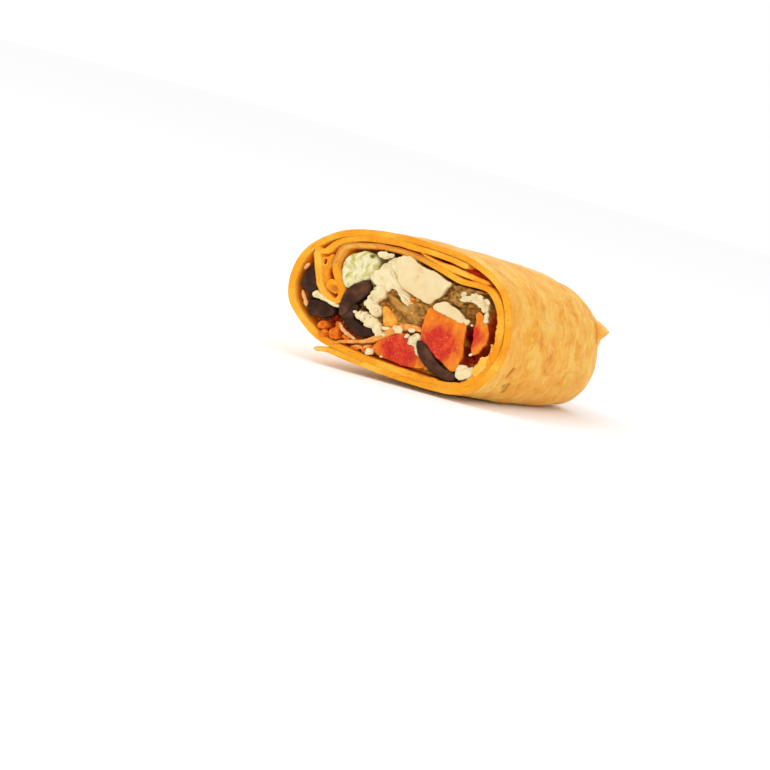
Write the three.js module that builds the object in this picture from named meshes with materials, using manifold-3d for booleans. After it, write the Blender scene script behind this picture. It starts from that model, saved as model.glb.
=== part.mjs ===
// One half of a chicken wrap, cut on the bias and lying on its flattened underside.
//
// Millimetres, +Z up. +Y runs along the roll, from the cut to the folded end.
// The origin is under the middle of the whole, at the height of the underside.
//
// Two sets of coordinates are used:
//  - [a, b] is a place on the cut face as seen square-on, a to the right and b up,
//    counted from the middle of the face;
//  - x and z are the same place in the roll's cross-section, z counted from the
//    middle of the face until bend() puts it on the ground.

import * as THREE from 'three';
import { mergeVertices } from 'three/addons/utils/BufferGeometryUtils.js';
import Module from 'manifold-3d';

const wasm = await Module();
wasm.setup();

// ---------------------------------------------------------------- sizes

const DEG = Math.PI / 180;
const CUT_TURN = 38 * DEG; // the cut faces this far to the right of -Y
const CUT_LEAN = 8 * DEG; // and this far upwards
const FACE_ROLL = 15.5 * DEG; // the face's own a axis rises this much

const SHEET = 2.0; // thickness of the tortilla
const GAP = 0.35; // between two turns, and round each piece of the filling
const PITCH = SHEET + GAP; // from one turn to the next
const FLOOR = -22.5; // the flattened underside, below the middle of the face

const SHEET_STEPS = 112; // the spiral is this many straight bits
const END_Y = 99; // the far, folded end
const PLUG_Y = 70; // where the folded end is solid from
const FOLD_Y = 84; // the side fold covers the turns from here to the end
const RIM_Y = END_Y - 5; // where the folded end turns in
const SHOULDER_Y = 68; // where the roll starts to round off
const SHOULDER_KEEP = 0.6; // how much of its width is left at the rim
const SHOULDER_POWER = 2.2; // the roundness of the shoulder
const TAPER_Y = 10; // the roll gets thinner from here
const TAPER_WIDTH = 0.04; // by this much of its width at the end
const TAPER_HEIGHT = 0.07; // and of its height
const BELLY = 2.6; // behind the cut the underside is this much lower
const BELLY_FROM = 8; // it goes down between these two places along the roll
const BELLY_TO = 46;
const SETTLE = 0.1; // there it also leans over, to lie flat from side to side: a slope
const SETTLE_X = 8; // about this place
const SETTLE_HEIGHT = 25; // that fades out at this height
const ROLL_HEIGHT = 50; // of the whole face, underside to top
const MIDDLE_X = 0.25; // the middle of the whole, from the middle of the cut face
const MIDDLE_Y = 36.95;
const END_LEVEL = 0.3; // the end closes round this share of the height
const FOLD_STEP = 2.4; // each fold at the end lies this much over the next
const FOLDS = 2; // this many folds overlap at the end
const FOLD_TWIST = 0.3; // how far a fold's edge winds round on its way out, of a full turn

const CORE_INSET = 3.2; // the filling's own bulk starts this far behind the cut
const POCKET = 0.3; // a pocket in the bulk is this much wider than its outline
const FIT = 0.15; // each piece is this much narrower than its outline

// ---------------------------------------------------------------- frames

const faceRight = new THREE.Vector3(
  Math.cos(FACE_ROLL) * Math.cos(CUT_TURN) - Math.sin(FACE_ROLL) * Math.sin(CUT_LEAN) * Math.sin(CUT_TURN),
  Math.cos(FACE_ROLL) * Math.sin(CUT_TURN) + Math.sin(FACE_ROLL) * Math.sin(CUT_LEAN) * Math.cos(CUT_TURN),
  Math.sin(FACE_ROLL) * Math.cos(CUT_LEAN));
const faceNormal = new THREE.Vector3(
  Math.sin(CUT_TURN) * Math.cos(CUT_LEAN), -Math.cos(CUT_TURN) * Math.cos(CUT_LEAN), Math.sin(CUT_LEAN));
const faceUp = faceNormal.clone().cross(faceRight);

// A place on the cut face, as a place in the cross-section.
function section([a, b]) {
  return new THREE.Vector2(a * faceRight.x + b * faceUp.x, a * faceRight.z + b * faceUp.z);
}

// Where the cut plane passes through a place in the cross-section.
function cutY(x, z) {
  return -(faceNormal.x * x + faceNormal.z * z) / faceNormal.y;
}

function smooth(from, to, value) {
  return THREE.MathUtils.smoothstep(value, from, to);
}

// Puts a place of the cross-section at y along the roll, which tapers and ends in round shoulders.
function bend(x, z, y) {
  const along = smooth(TAPER_Y, END_Y, y);
  const past = THREE.MathUtils.clamp((y - SHOULDER_Y) / (END_Y - SHOULDER_Y), 0, 1);
  const round = SHOULDER_KEEP + (1 - SHOULDER_KEEP) * (1 - past ** SHOULDER_POWER) ** (1 / SHOULDER_POWER);
  const settled = smooth(BELLY_FROM, BELLY_TO, y);
  const hang = BELLY * settled;
  const free = (z - FLOOR) * (1 + hang / ROLL_HEIGHT) * (1 - TAPER_HEIGHT * along) - hang + BELLY;
  const lean = SETTLE * settled * (1 - smooth(0, SETTLE_HEIGHT, free));
  const level = free + lean * (x - SETTLE_X);
  const height = ROLL_HEIGHT * END_LEVEL * (1 - round) + level * round;
  return new THREE.Vector3(x * (1 - TAPER_WIDTH * along) * round, y, Math.max(height, 0));
}

// ---------------------------------------------------------------- outlines

function spline(points, closed) {
  const space = points.map((p) => new THREE.Vector3(p.x, p.y, 0));
  return new THREE.CatmullRomCurve3(space, closed, 'centripetal');
}

function flat(points) {
  return points.map((p) => new THREE.Vector2(p.x, p.y));
}

// The line beside a run of points, on its left by a distance.
function beside(points, distance, closed = false) {
  const last = points.length - 1;
  return points.map((p, i) => {
    const before = points[closed ? (i + last) % (last + 1) : Math.max(i - 1, 0)];
    const after = points[closed ? (i + 1) % (last + 1) : Math.min(i + 1, last)];
    const along = after.clone().sub(before).normalize();
    return new THREE.Vector2(p.x - along.y * distance, p.y + along.x * distance);
  });
}

function area(points) {
  return THREE.ShapeUtils.area(points);
}

// A closed smooth outline through places on the cut face, wound to the left, moved in by a distance.
function blob(places, count, inward) {
  let points = flat(spline(places.map(section), true).getSpacedPoints(count).slice(0, count));
  if (area(points) < 0) points = points.reverse();
  return beside(points, inward, true);
}

// ---------------------------------------------------------------- solids

function asSolid(geometry) {
  const bare = geometry.clone();
  bare.deleteAttribute('normal');
  bare.deleteAttribute('uv');
  const merged = mergeVertices(bare, 1e-5);
  const at = merged.attributes.position.array;
  const index = Array.from(merged.index.array);
  const corner = (i) => new THREE.Vector3(at[3 * i], at[3 * i + 1], at[3 * i + 2]);
  let volume = 0;
  for (let i = 0; i < index.length; i += 3) {
    volume += corner(index[i]).dot(corner(index[i + 1]).cross(corner(index[i + 2])));
  }
  if (volume < 0) index.reverse();
  return new wasm.Manifold(new wasm.Mesh({
    numProp: 3, vertProperties: new Float32Array(at), triVerts: new Uint32Array(index),
  }));
}

function asGeometry(solid) {
  const mesh = solid.getMesh();
  const geometry = new THREE.BufferGeometry();
  geometry.setAttribute('position', new THREE.BufferAttribute(new Float32Array(mesh.vertProperties), 3));
  geometry.setIndex(new THREE.BufferAttribute(new Uint32Array(mesh.triVerts), 1));
  geometry.computeVertexNormals();
  return geometry;
}

// Only the largest body of a solid; thin scraps between two pockets go.
function largest(solid) {
  return solid.decompose().sort((p, q) => q.volume() - p.volume())[0];
}

// An outline of the cross-section, run along the roll. It starts behind the cut by inset and
// goes on to endY or for a length; over its last part it closes to the given share of its size.
// An ease over 1 puts more of the steps near the far end, and slide may move a place sideways.
function run(outline, {
  inset = 0, endY = null, length = null, close = 1, steps = 3, ease = 1, holes = [], slide = (x) => x,
}) {
  const shape = new THREE.Shape(outline);
  shape.holes = holes.map((hole) => new THREE.Path(hole));
  const geometry = new THREE.ExtrudeGeometry(shape, { depth: 1, steps, bevelEnabled: false });
  const middle = outline.reduce((sum, p) => sum.add(p), new THREE.Vector2()).divideScalar(outline.length);
  const at = geometry.attributes.position;
  for (let i = 0; i < at.count; i += 1) {
    const t = 1 - (1 - at.getZ(i)) ** ease;
    const size = 1 - (1 - close) * t ** 3;
    const x = middle.x + (at.getX(i) - middle.x) * size;
    const z = middle.y + (at.getY(i) - middle.y) * size;
    const front = cutY(x, z) + inset;
    const back = endY ?? cutY(x, z) + length;
    const y = front + (back - front) * t;
    const p = bend(slide(x, z, y), z, y);
    at.setXYZ(i, p.x, p.y, p.z);
  }
  return asSolid(geometry);
}

// Rings of equal count joined one to the next, closed at both ends by a fan.
function loft(rings) {
  const count = rings[0].length;
  const points = rings.flat();
  const index = [];
  for (let r = 0; r + 1 < rings.length; r += 1) {
    for (let i = 0; i < count; i += 1) {
      const j = (i + 1) % count;
      index.push(r * count + i, r * count + j, (r + 1) * count + i);
      index.push(r * count + j, (r + 1) * count + j, (r + 1) * count + i);
    }
  }
  for (const [start, flip] of [[0, true], [(rings.length - 1) * count, false]]) {
    const ring = points.slice(start, start + count);
    const centre = points.length;
    points.push(ring.reduce((sum, p) => sum.add(p), new THREE.Vector3()).divideScalar(count));
    for (let i = 0; i < count; i += 1) {
      const j = (i + 1) % count;
      index.push(...(flip ? [start + j, start + i, centre] : [start + i, start + j, centre]));
    }
  }
  const geometry = new THREE.BufferGeometry().setFromPoints(points);
  geometry.setIndex(index);
  return asSolid(geometry);
}

// ---------------------------------------------------------------- the tortilla

// The middle of the outer turn, going round to the left from the lower left corner of the face.
const RING = [
  [-18.9, -15.7], [-4.6, -21.4], [13.2, -27], [20, -28.2], [25.7, -27], [31.1, -23.6], [37.5, -15],
  [39.5, -6.1], [38.6, 5.4], [34.3, 12.1], [25, 18.9], [11.4, 24.1], [-6.4, 28.4], [-19.6, 28.4],
  [-31.1, 23.2], [-36.8, 14.6], [-37.9, 5.7], [-34.6, -2.5], [-28.6, -10.7],
];
const ringCurve = spline(RING.map(section), true);

// A place on the ring; station counts RING's points, and depth goes inwards.
function onRing(station, depth) {
  const t = (((station / RING.length) % 1) + 1) % 1;
  const p = ringCurve.getPoint(t);
  const along = ringCurve.getTangent(t);
  return new THREE.Vector2(p.x - along.y * depth, p.y + along.x * depth);
}

// Stations from one to another, one for each point of the ring, at a depth that may change.
function turn(from, to, depth) {
  const count = Math.max(Math.round(Math.abs(to - from)), 1);
  const stations = Array.from({ length: count + 1 }, (_, i) => from + ((to - from) * i) / count);
  return stations.map((s) => onRing(s, typeof depth === 'function' ? depth(s) : depth));
}

const LAPS = RING.length;
const FIRST_TURN_END = 16; // the outer turn starts to pass under its own beginning here
const SECOND_TURN_END = LAPS + 7.6; // the second turn leaves the wall here

// The sheet from its free edge at the lower left to the edge that was rolled in first.
const freeEdge = [[-30.4, -12.5], [-25, -13.2]].map(section);
const outerTurn = turn(0, FIRST_TURN_END, 0);
const secondTurn = turn(FIRST_TURN_END + 1, SECOND_TURN_END,
  (s) => PITCH * 1.02 * smooth(FIRST_TURN_END, LAPS - 0.4, s));
const underHollow = [[33.2, 7.9], [28.9, 10], [22.1, 11.6], [15, 15.7], [8.2, 19.4]].map(section);
const thirdTurn = turn(11.6, 13.1, 2 * PITCH + 0.1);
const tongue = [
  [-20.9, 20.6], [-22.3, 17.3], [-21.9, 13.9], [-20.9, 10.4], [-20.3, 7.6], [-21.2, 5],
  [-23, 4.4], [-25, 5.8], [-27, 8.6], [-28.2, 11.6], [-28.7, 15.4], [-29, 19.2], [-28.2, 21.9],
].map(section);
const innerEdge = [...turn(13.2, 10.6, PITCH + 0.1), ...[[22.1, 17.6], [25, 16.1]].map(section)];

const sheetPoints = [
  ...freeEdge, ...outerTurn, ...secondTurn, ...underHollow, ...thirdTurn, ...tongue, ...innerEdge,
];
const sheetCurve = spline(sheetPoints, false);
const sheetLine = flat(sheetCurve.getPoints(SHEET_STEPS));

// The stretch of the sheet that faces the filling, between two of its points.
const facingFrom = freeEdge.length + 14.2;
const facingTo = sheetPoints.length - innerEdge.length - 1.6;
const facingLine = sheetLine.slice(...[facingFrom, facingTo].map(
  (at) => Math.round((at / (sheetPoints.length - 1)) * SHEET_STEPS)));

// A thin strip of even thickness round a run of points, with round ends.
function strip(points, thickness) {
  const half = thickness / 2;
  const left = beside(points, half);
  const right = beside(points, -half).reverse();
  const cap = (centre, from) => [45, 90, 135].map((angle) => from.clone().sub(centre)
    .rotateAround(new THREE.Vector2(), -angle * DEG).add(centre));
  return [...left, ...cap(points.at(-1), left.at(-1)), ...right, ...cap(points[0], right.at(-1))];
}

// The side of the tortilla that was folded in first, crumpled between two turns of the sheet.
const CRUMPLES = [
  { at: [-26.3, 18.2], across: 3.4, along: 4.6, length: 30 },
  { at: [-24.2, 9.9], across: 3.6, along: 4.4, length: 34 },
];
const CRUMPLE_WALL = 1.1;

function crumple({ at, across, along, length }) {
  const centre = section(at);
  const ellipse = (grow) => flat(new THREE.EllipseCurve(
    centre.x, centre.y, across / 2 + grow, along / 2 + grow).getPoints(14).slice(0, 14));
  return run(ellipse(0), { length, inset: 0.6, steps: 2, holes: [ellipse(-CRUMPLE_WALL).reverse()] });
}

// The folded end: solid between the turns, then round them, and closed by a low dome on which
// the folds overlap, each one's edge winding round on its way out.
function foldedEnd() {
  const count = 44;
  const outline = (outside) => Array.from({ length: count }, (_, i) => onRing((i * LAPS) / count, -outside));
  const ringAt = (y, outside) => outline(outside).map((p) => bend(p.x, p.y, y));
  const within = [PLUG_Y, FOLD_Y - 1].map((y) => ringAt(y, -GAP));
  const around = [FOLD_Y, 88, 91, RIM_Y].map((y) => ringAt(y, SHEET / 2 + GAP / 2));
  const edge = around.at(-1);
  const middle = bend(0, 0, RIM_Y);
  const dome = [0.93, 0.8, 0.62, 0.44, 0.26, 0.12].map((reach) => edge.map((p, i) => {
    const winding = (((i / count + FOLD_TWIST * reach) * FOLDS) % 1);
    const step = FOLD_STEP * (winding - 1) * (1 - smooth(0.8, 1, reach)) * smooth(0.05, 0.3, reach);
    const rise = (END_Y - RIM_Y) * Math.sqrt(1 - reach ** 2);
    return middle.clone().lerp(p, reach).setY(RIM_Y + rise + step);
  }));
  return loft([...within, ...around, ...dome]);
}

// A corner of the folded side that stands out of the far end, as x and z and a place along y.
const END_CORNER = [[14, 24], [28, 27], [30.5, 34.3], [20, 37]];
const END_CORNER_Y = 89;

function endCorner() {
  const ringAt = (y) => END_CORNER.map(([x, z]) => new THREE.Vector3(x, y, z));
  return loft([ringAt(END_CORNER_Y), ringAt(END_CORNER_Y + SHEET)]);
}

// The free edge is round: it stands out at the cut and draws in under the roll further back.
const FLAP_ROOT = { x: -12, z: -17.9 }; // the flap is left of and below this
const FLAP_KEEP = 0.1; // of its width, from here on:
const FLAP_BACK_Y = 18;

function drawIn(x, z, y) {
  if (x > FLAP_ROOT.x || z > FLAP_ROOT.z) return x;
  return FLAP_ROOT.x + (x - FLAP_ROOT.x) * (1 - (1 - FLAP_KEEP) * smooth(cutY(x, z), FLAP_BACK_Y, y));
}

function tortilla() {
  const sheet = run(strip(sheetLine, SHEET), { endY: FOLD_Y + 2, steps: 8, ease: 1.3, slide: drawIn });
  return [...CRUMPLES.map(crumple), foldedEnd(), endCorner()].reduce((sum, part) => sum.add(part), sheet);
}

// ---------------------------------------------------------------- the filling

// Each piece is an outline on the cut face, run back into the roll for its length. A negative
// inset stands proud of the cut. The outline's last point joins its first.
const PIECES = [
  { name: 'chicken_slab', food: 'chicken', length: 46, inset: -0.4, outline: [
    [1.2, 19.8], [5.2, 19.2], [10.6, 15.3], [19, 10.2], [15.4, 6.1], [10.7, 3.2], [4.6, 5.7], [0.4, 11.4], [-0.6, 18] ] },
  { name: 'chicken_strip', food: 'chicken', length: 40, inset: 0.3, outline: [
    [-9.6, 12.9], [-5, 17.1], [-1, 19.8], [-0.6, 14], [1, 9], [3.6, 5], [2, 3.6], [-2.1, 8.4], [-6.1, 9.4] ] },
  { name: 'chicken_chip', food: 'chicken', length: 24, inset: -0.3, outline: [
    [12.5, 2.9], [17.9, 3.9], [22.5, 0.7], [25.4, -2.5], [22.1, -3], [16, 0] ] },
  { name: 'chicken_shred_right', food: 'chicken', length: 22, inset: 0.8, outline: [
    [22.4, 7.6], [25, 6.6], [28.6, 6.2], [31.6, 6.2], [32.6, 3], [30.2, 3.2], [26, 3.6], [22.6, 5] ] },
  { name: 'chicken_shred_low', food: 'chicken', length: 26, inset: 0.6, outline: [
    [21.4, -19.6], [23.9, -20.2], [26.2, -19.6], [25, -22.4], [22.5, -23.2], [21, -22.4] ] },
  { name: 'chicken_brown', food: 'browned', length: 52, inset: 2.2, outline: [
    [-4, 7], [2, 2.4], [6, 4], [10, 2.2], [8.2, 0.4], [7.2, -2.6], [3, -1.8], [-1.4, 1.4] ] },
  { name: 'chicken_dark', food: 'browned', length: 40, inset: 3, outline: [
    [13.4, 4.6], [17.6, 6.8], [21.2, 8.9], [27.6, 8.3], [31.6, 7.3], [26, 7.3], [22, 8], [21.4, 4.2], [18, 4.9] ] },
  { name: 'lettuce_rib', food: 'lettuce', length: 38, inset: 0, outline: [
    [-18.6, 17.8], [-15.4, 21.4], [-11.4, 21.6], [-7.4, 20.4], [-7.4, 16.6], [-10.6, 13.6], [-14.2, 12], [-17.4, 10], [-19.4, 13] ] },
  { name: 'olive_ring', food: 'olive', length: 6, inset: -0.5, outline: [
    [-19.6, 4], [-18.3, 7.2], [-16.2, 9.3], [-13.2, 10.3], [-9.6, 9.8], [-10.7, 7.7], [-14.3, 3.4], [-16.4, 0.4],
    [-14.8, -1.8], [-10.6, -4.6], [-8.4, -8], [-12, -8.6], [-16, -7.6], [-19, -4.8], [-20.2, -0.6] ] },
  { name: 'olive_upper_left', food: 'olive', length: 13, inset: -0.3, outline: [
    [-31.5, 16.8], [-30.5, 15.8], [-30.5, 11.4], [-30.5, 9], [-31.9, 7], [-34.6, 9.4], [-34.8, 12.4], [-33.4, 15.4] ] },
  { name: 'olive_lower_left', food: 'olive', length: 12, inset: -0.4, outline: [
    [-31.4, 3.7], [-28.4, 3.4], [-24.8, 1.2], [-23.2, 0], [-24.6, -1.4], [-29.3, -1.6], [-31.9, 0.2] ] },
  { name: 'olive_low', food: 'olive', length: 14, inset: -0.6, outline: [
    [8.6, -9.8], [7.7, -13.6], [9.2, -18.4], [13.6, -22.6], [17.1, -23.8], [19.4, -23], [19.4, -21], [16, -18.4], [12.8, -14.6], [10.6, -10.8] ] },
  { name: 'tomato_middle', food: 'tomato', length: 30, inset: 0.5, outline: [
    [9.4, 0], [13, 0.4], [17.5, -1.6], [23.6, -4.4], [23.4, -9], [22.2, -16], [20.2, -19.4], [15.6, -16.8], [11.2, -10.2], [8.4, -6.6] ] },
  { name: 'tomato_right', food: 'tomato', length: 26, inset: 0.8, outline: [
    [28.6, 0.6], [30.3, 0.2], [31.8, -5.4], [32.1, -9.2], [30.4, -12], [27, -14.4], [25.6, -12.6], [26, -7] ] },
  { name: 'tomato_low', food: 'tomato', length: 34, inset: 0.6, outline: [
    [-10, -11.9], [-5.6, -9.4], [-1.4, -8.2], [2, -9.8], [4, -14.4], [6.8, -16.4], [7.6, -19.4], [2, -18.7], [-6.2, -15.5] ] },
  { name: 'cheese_cream', food: 'cheese', length: 18, inset: 0.2, outline: [
    [3.6, -10.2], [5.4, -8], [7.6, -8.6], [7, -12.4], [7, -15], [5, -14.2] ] },
  { name: 'cheese_crumble', food: 'cheese', length: 12, inset: -0.2, outline: [
    [-14.8, 0], [-10.4, -0.7], [-7.5, -1.6], [-5.7, -3.6], [-5.4, -6.8], [-7.1, -8.4], [-8.1, -6.8], [-9.1, -4.1], [-13.6, -1.5] ] },
  { name: 'cheese_thread', food: 'cheese', length: 10, inset: 0.1, outline: [
    [-5, 7.7], [-6.8, 5.4], [-8.6, 3.2], [-9.6, 1.4], [-11.4, 2.5], [-11.8, 4.3], [-10.2, 6.3], [-8.4, 8], [-6.8, 8.7] ] },
  { name: 'cheese_left', food: 'cheese', length: 14, inset: 0.3, outline: [
    [-30.4, 7], [-28.9, 6.1], [-26.4, 3.9], [-23.4, 2.3], [-24.4, 1.8], [-27.6, 3.9], [-31.2, 5.2] ] },
  { name: 'cheddar_piece', food: 'cheddar', length: 20, inset: 0.6, outline: [
    [-5, 1.2], [-3.2, -0.6], [-1.4, -3.6], [-1.8, -5], [-4.2, -5.6], [-4.6, -3.4], [-6, -0.4] ] },
  { name: 'carrot_shred', food: 'carrot', length: 9, inset: 0.2, outline: [
    [-22.4, -9.9], [-19, -9.3], [-13.8, -10.3], [-8, -9], [-3.4, -6.6], [1, -4.2], [6.6, -4.6], [6.4, -5.8], [1.6, -5.6],
    [-3, -8], [-7.6, -10.3], [-13.6, -11.4], [-19, -10.4] ] },
  { name: 'carrot_chunk', food: 'carrot', length: 24, inset: 0.6, outline: [
    [-25, -5.4], [-22.4, -3.6], [-20.8, -3.8], [-20.6, -8], [-22.9, -8.6], [-25, -7.5] ] },
  { name: 'carrot_bit_left', food: 'carrot', length: 16, inset: 0.2, outline: [
    [-29.6, -3.6], [-27.8, -2.6], [-26.2, -3.6], [-26.4, -6], [-28, -6.4] ] },
  { name: 'carrot_bit_low', food: 'carrot', length: 18, inset: 0.8, outline: [
    [-19.6, -5], [-17.4, -7], [-14.6, -8.8], [-17, -9.2], [-19.6, -8.2] ] },
];

const FOODS = {
  chicken: { color: 0xf3e4bc, roughness: 0.6 },
  browned: { color: 0xa8823f, roughness: 0.6 },
  lettuce: { color: 0xc9d29a, roughness: 0.45 },
  olive: { color: 0x3a2c2a, roughness: 0.3 },
  tomato: { color: 0xd8452c, roughness: 0.25 },
  cheese: { color: 0xf4e8cb, roughness: 0.6 },
  cheddar: { color: 0xf2a64e, roughness: 0.5 },
  carrot: { color: 0xf08a3c, roughness: 0.45 },
  mixed: { color: 0x9a6a34, roughness: 0.5 },
  bread: { color: 0xeeb25a, roughness: 0.7 },
};

function pieceSolid({ outline, length, inset }, inward, longer = 0) {
  const shape = blob(outline, Math.round(1.6 * outline.length), inward);
  return run(shape, { length: length + longer, inset: inset - longer, close: 0.7, steps: 2 });
}

// The bulk of the filling, with a pocket for each piece that shows.
function fillingCore() {
  const hollow = beside(facingLine, SHEET / 2 + 1.3 * GAP);
  const bulk = run(hollow, { inset: CORE_INSET, endY: PLUG_Y - 2 * GAP, steps: 6 });
  const pockets = PIECES.map((piece) => pieceSolid(piece, -POCKET, 0.4));
  return largest(pockets.reduce((rest, pocket) => rest.subtract(pocket), bulk));
}

// ---------------------------------------------------------------- the wrap

function piece(name, solid, food) {
  const mesh = new THREE.Mesh(asGeometry(solid), new THREE.MeshStandardMaterial({ ...FOODS[food], metalness: 0 }));
  mesh.name = name;
  return mesh;
}

const wrap = new THREE.Group();
wrap.position.set(-MIDDLE_X, -MIDDLE_Y, 0);
wrap.add(piece('tortilla', tortilla(), 'bread'));
wrap.add(piece('filling_core', fillingCore(), 'mixed'));
for (const each of PIECES) wrap.add(piece(each.name, pieceSolid(each, FIT), each.food));

export default wrap;
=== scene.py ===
"""Half of a chicken wrap, cut on the bias: the fine surfaces over the CAD frame.

Sizes are in millimetres and named as in the part's own source; build() turns them
into metres. [a, b] is a place on the cut face as seen square-on, a to the right and
b up from its middle. x and z are the same place in the roll's cross-section. A tone
is red, green and blue as they look, 0 to 255.
"""
import math

import bpy
import numpy as np
from mathutils import Matrix, Vector
from mathutils.geometry import delaunay_2d_cdt


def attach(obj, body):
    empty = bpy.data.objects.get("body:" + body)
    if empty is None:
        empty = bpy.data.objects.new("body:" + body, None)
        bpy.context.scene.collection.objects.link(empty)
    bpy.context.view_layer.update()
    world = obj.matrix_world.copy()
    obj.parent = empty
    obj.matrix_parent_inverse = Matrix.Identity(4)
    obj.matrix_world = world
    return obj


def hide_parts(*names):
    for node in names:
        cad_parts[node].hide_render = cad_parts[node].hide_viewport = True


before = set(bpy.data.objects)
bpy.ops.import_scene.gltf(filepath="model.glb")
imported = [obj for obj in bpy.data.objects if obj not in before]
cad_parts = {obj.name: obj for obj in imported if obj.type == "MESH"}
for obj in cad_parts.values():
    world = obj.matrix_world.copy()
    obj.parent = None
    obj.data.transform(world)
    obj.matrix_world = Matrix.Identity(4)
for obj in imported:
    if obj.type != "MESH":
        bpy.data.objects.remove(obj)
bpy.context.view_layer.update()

# ------------------------------------------------------------------ sizes

MM = 0.001
CUT_TURN = math.radians(38)      # the cut faces this far to the right of -Y
CUT_LEAN = math.radians(8)       # and this far upwards
FACE_ROLL = math.radians(15.5)   # the face's own a axis rises this much

SHEET = 2.0                      # thickness of the tortilla
PITCH = 2.35                     # from one turn to the next
FLOOR = -22.5                    # the underside, below the middle of the face
END_Y = 99.0                     # the far, folded end
PLUG_Y = 70.0                    # where the folded end is solid from
FOLD_Y = 84.0                    # the side fold covers the turns from here
RIM_Y = END_Y - 5                # where the folded end turns in
SHOULDER_Y = 68.0                # where the roll starts to round off
SHOULDER_KEEP = 0.6              # the share of its width left at the end
SHOULDER_POWER = 2.2
TAPER_Y = 10.0
TAPER_WIDTH = 0.04
TAPER_HEIGHT = 0.07
BELLY = 2.6                      # behind the cut the underside is this much lower
BELLY_FROM = 8.0
BELLY_TO = 46.0
SETTLE = 0.1                     # there it also leans over, to lie flat from side to side: a slope
SETTLE_X = 8.0                   # about this place
SETTLE_HEIGHT = 25.0             # that fades out at this height
ROLL_HEIGHT = 50.0
MIDDLE_X = 0.25                  # the frame's origin, from the middle of the face
MIDDLE_Y = 36.95
END_LEVEL = 0.3

face_normal = np.array([math.sin(CUT_TURN) * math.cos(CUT_LEAN),
                        -math.cos(CUT_TURN) * math.cos(CUT_LEAN),
                        math.sin(CUT_LEAN)])
level_right = np.array([math.cos(CUT_TURN), math.sin(CUT_TURN), 0.0])
level_up = np.cross(face_normal, level_right)
face_right = math.cos(FACE_ROLL) * level_right + math.sin(FACE_ROLL) * level_up
face_up = np.cross(face_normal, face_right)
OUT_SHARE = 0.78                 # a step along the roll stands this share of itself out of the cut


def section(places):
    """Places [a, b] on the cut face, as x and z in the cross-section."""
    places = np.asarray(places, float)
    a, b = places[..., 0], places[..., 1]
    return np.stack([a * face_right[0] + b * face_up[0], a * face_right[2] + b * face_up[2]], -1)


def face_place(xz):
    """The place [a, b] on the cut face of each x and z."""
    turn = np.array([[face_right[0], face_up[0]], [face_right[2], face_up[2]]])
    return xz @ np.linalg.inv(turn).T


def cut_y(xz):
    """Where the cut plane passes through each x and z."""
    return -(face_normal[0] * xz[..., 0] + face_normal[2] * xz[..., 1]) / face_normal[1]


def smooth(low, high, value):
    """0 below low and 1 above high, with a soft step between; the other way round if high is lower."""
    t = np.clip((value - low) / (high - low), 0, 1)
    return t * t * (3 - 2 * t)


def band_of(value, low, high, ease):
    """1 between low and high and 0 outside them."""
    above = smooth(low - ease / 2, low + ease / 2, value)
    return above * (1 - smooth(high - ease / 2, high + ease / 2, value))


def bend(xz, y):
    """Each x and z at y along the roll, which tapers and ends in round shoulders."""
    along = smooth(TAPER_Y, END_Y, y)
    past = np.clip((y - SHOULDER_Y) / (END_Y - SHOULDER_Y), 0, 1)
    rounding = SHOULDER_KEEP + (1 - SHOULDER_KEEP) * (1 - past ** SHOULDER_POWER) ** (1 / SHOULDER_POWER)
    settled = smooth(BELLY_FROM, BELLY_TO, y)
    hang = BELLY * settled
    free = (xz[..., 1] - FLOOR) * (1 + hang / ROLL_HEIGHT) * (1 - TAPER_HEIGHT * along) - hang + BELLY
    level = free + SETTLE * settled * (1 - smooth(0, SETTLE_HEIGHT, free)) * (xz[..., 0] - SETTLE_X)
    height = ROLL_HEIGHT * END_LEVEL * (1 - rounding) + level * rounding
    x = xz[..., 0] * (1 - TAPER_WIDTH * along) * rounding
    return np.stack([x - MIDDLE_X, y - MIDDLE_Y + 0 * x, np.maximum(height, 0)], -1)


# ------------------------------------------------------------------ noise

def noise(points, size, seed=0, octaves=1):
    """Smooth value noise between -1 and 1, of the given feature size, which may be three sizes."""
    total = np.zeros(points.shape[:-1])
    weight = 1.0
    scale = 1 / np.broadcast_to(np.asarray(size, float), (3,))
    for octave in range(octaves):
        q = points * scale * 2 ** octave + 17.3 * (octave + seed)
        cell = np.floor(q).astype(np.int64)
        f = q - cell
        f = f * f * f * (f * (f * 6 - 15) + 10)
        value = 0.0
        for corner in range(8):
            d = np.array([corner & 1, corner >> 1 & 1, corner >> 2 & 1])
            n = cell + d
            h = n[..., 0] * 374761393 + n[..., 1] * 668265263 + n[..., 2] * 1440662683 + seed * 69069
            h = (h ^ (h >> 13)) * 1274126177 & 0xffffffff
            h = (h ^ (h >> 16)) & 0xffff
            value = value + np.prod(np.where(d, f, 1 - f), -1) * (h / 32767.5 - 1)
        total += value * weight
        weight *= 0.5
    return total / (2 - 2 ** (1 - octaves))


def waves(points, *layers):
    """Several noises added up. A layer is its amount, feature size, seed and number of octaves."""
    return sum(amount * noise(points, size, seed, *octaves) for amount, size, seed, *octaves in layers)


def cells(points, size, seed=0):
    """Distance to the nearest of one random point in each cell, in cells: 0 at the points."""
    q = points / size + seed * 7.7
    base = np.floor(q).astype(np.int64)
    nearest = np.full(q.shape[:-1], 9.0)
    for shift in np.ndindex(3, 3, 3):
        n = base + np.array(shift) - 1
        h = (n[..., 0] * 73856093 ^ n[..., 1] * 19349663 ^ n[..., 2] * 83492791) & 0xffffff
        spot = np.stack([(h * k >> 4 & 0xffff) / 65535 for k in (7919, 104729, 15487)], -1)
        nearest = np.minimum(nearest, np.linalg.norm(n + spot - q, axis=-1))
    return nearest


def pitted(points, size, seed, sharp):
    """Small round pits: 1 in the middle of each, and the smaller the sharper."""
    return np.clip(1 - sharp * cells(points, size, seed), 0, 1)


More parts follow.
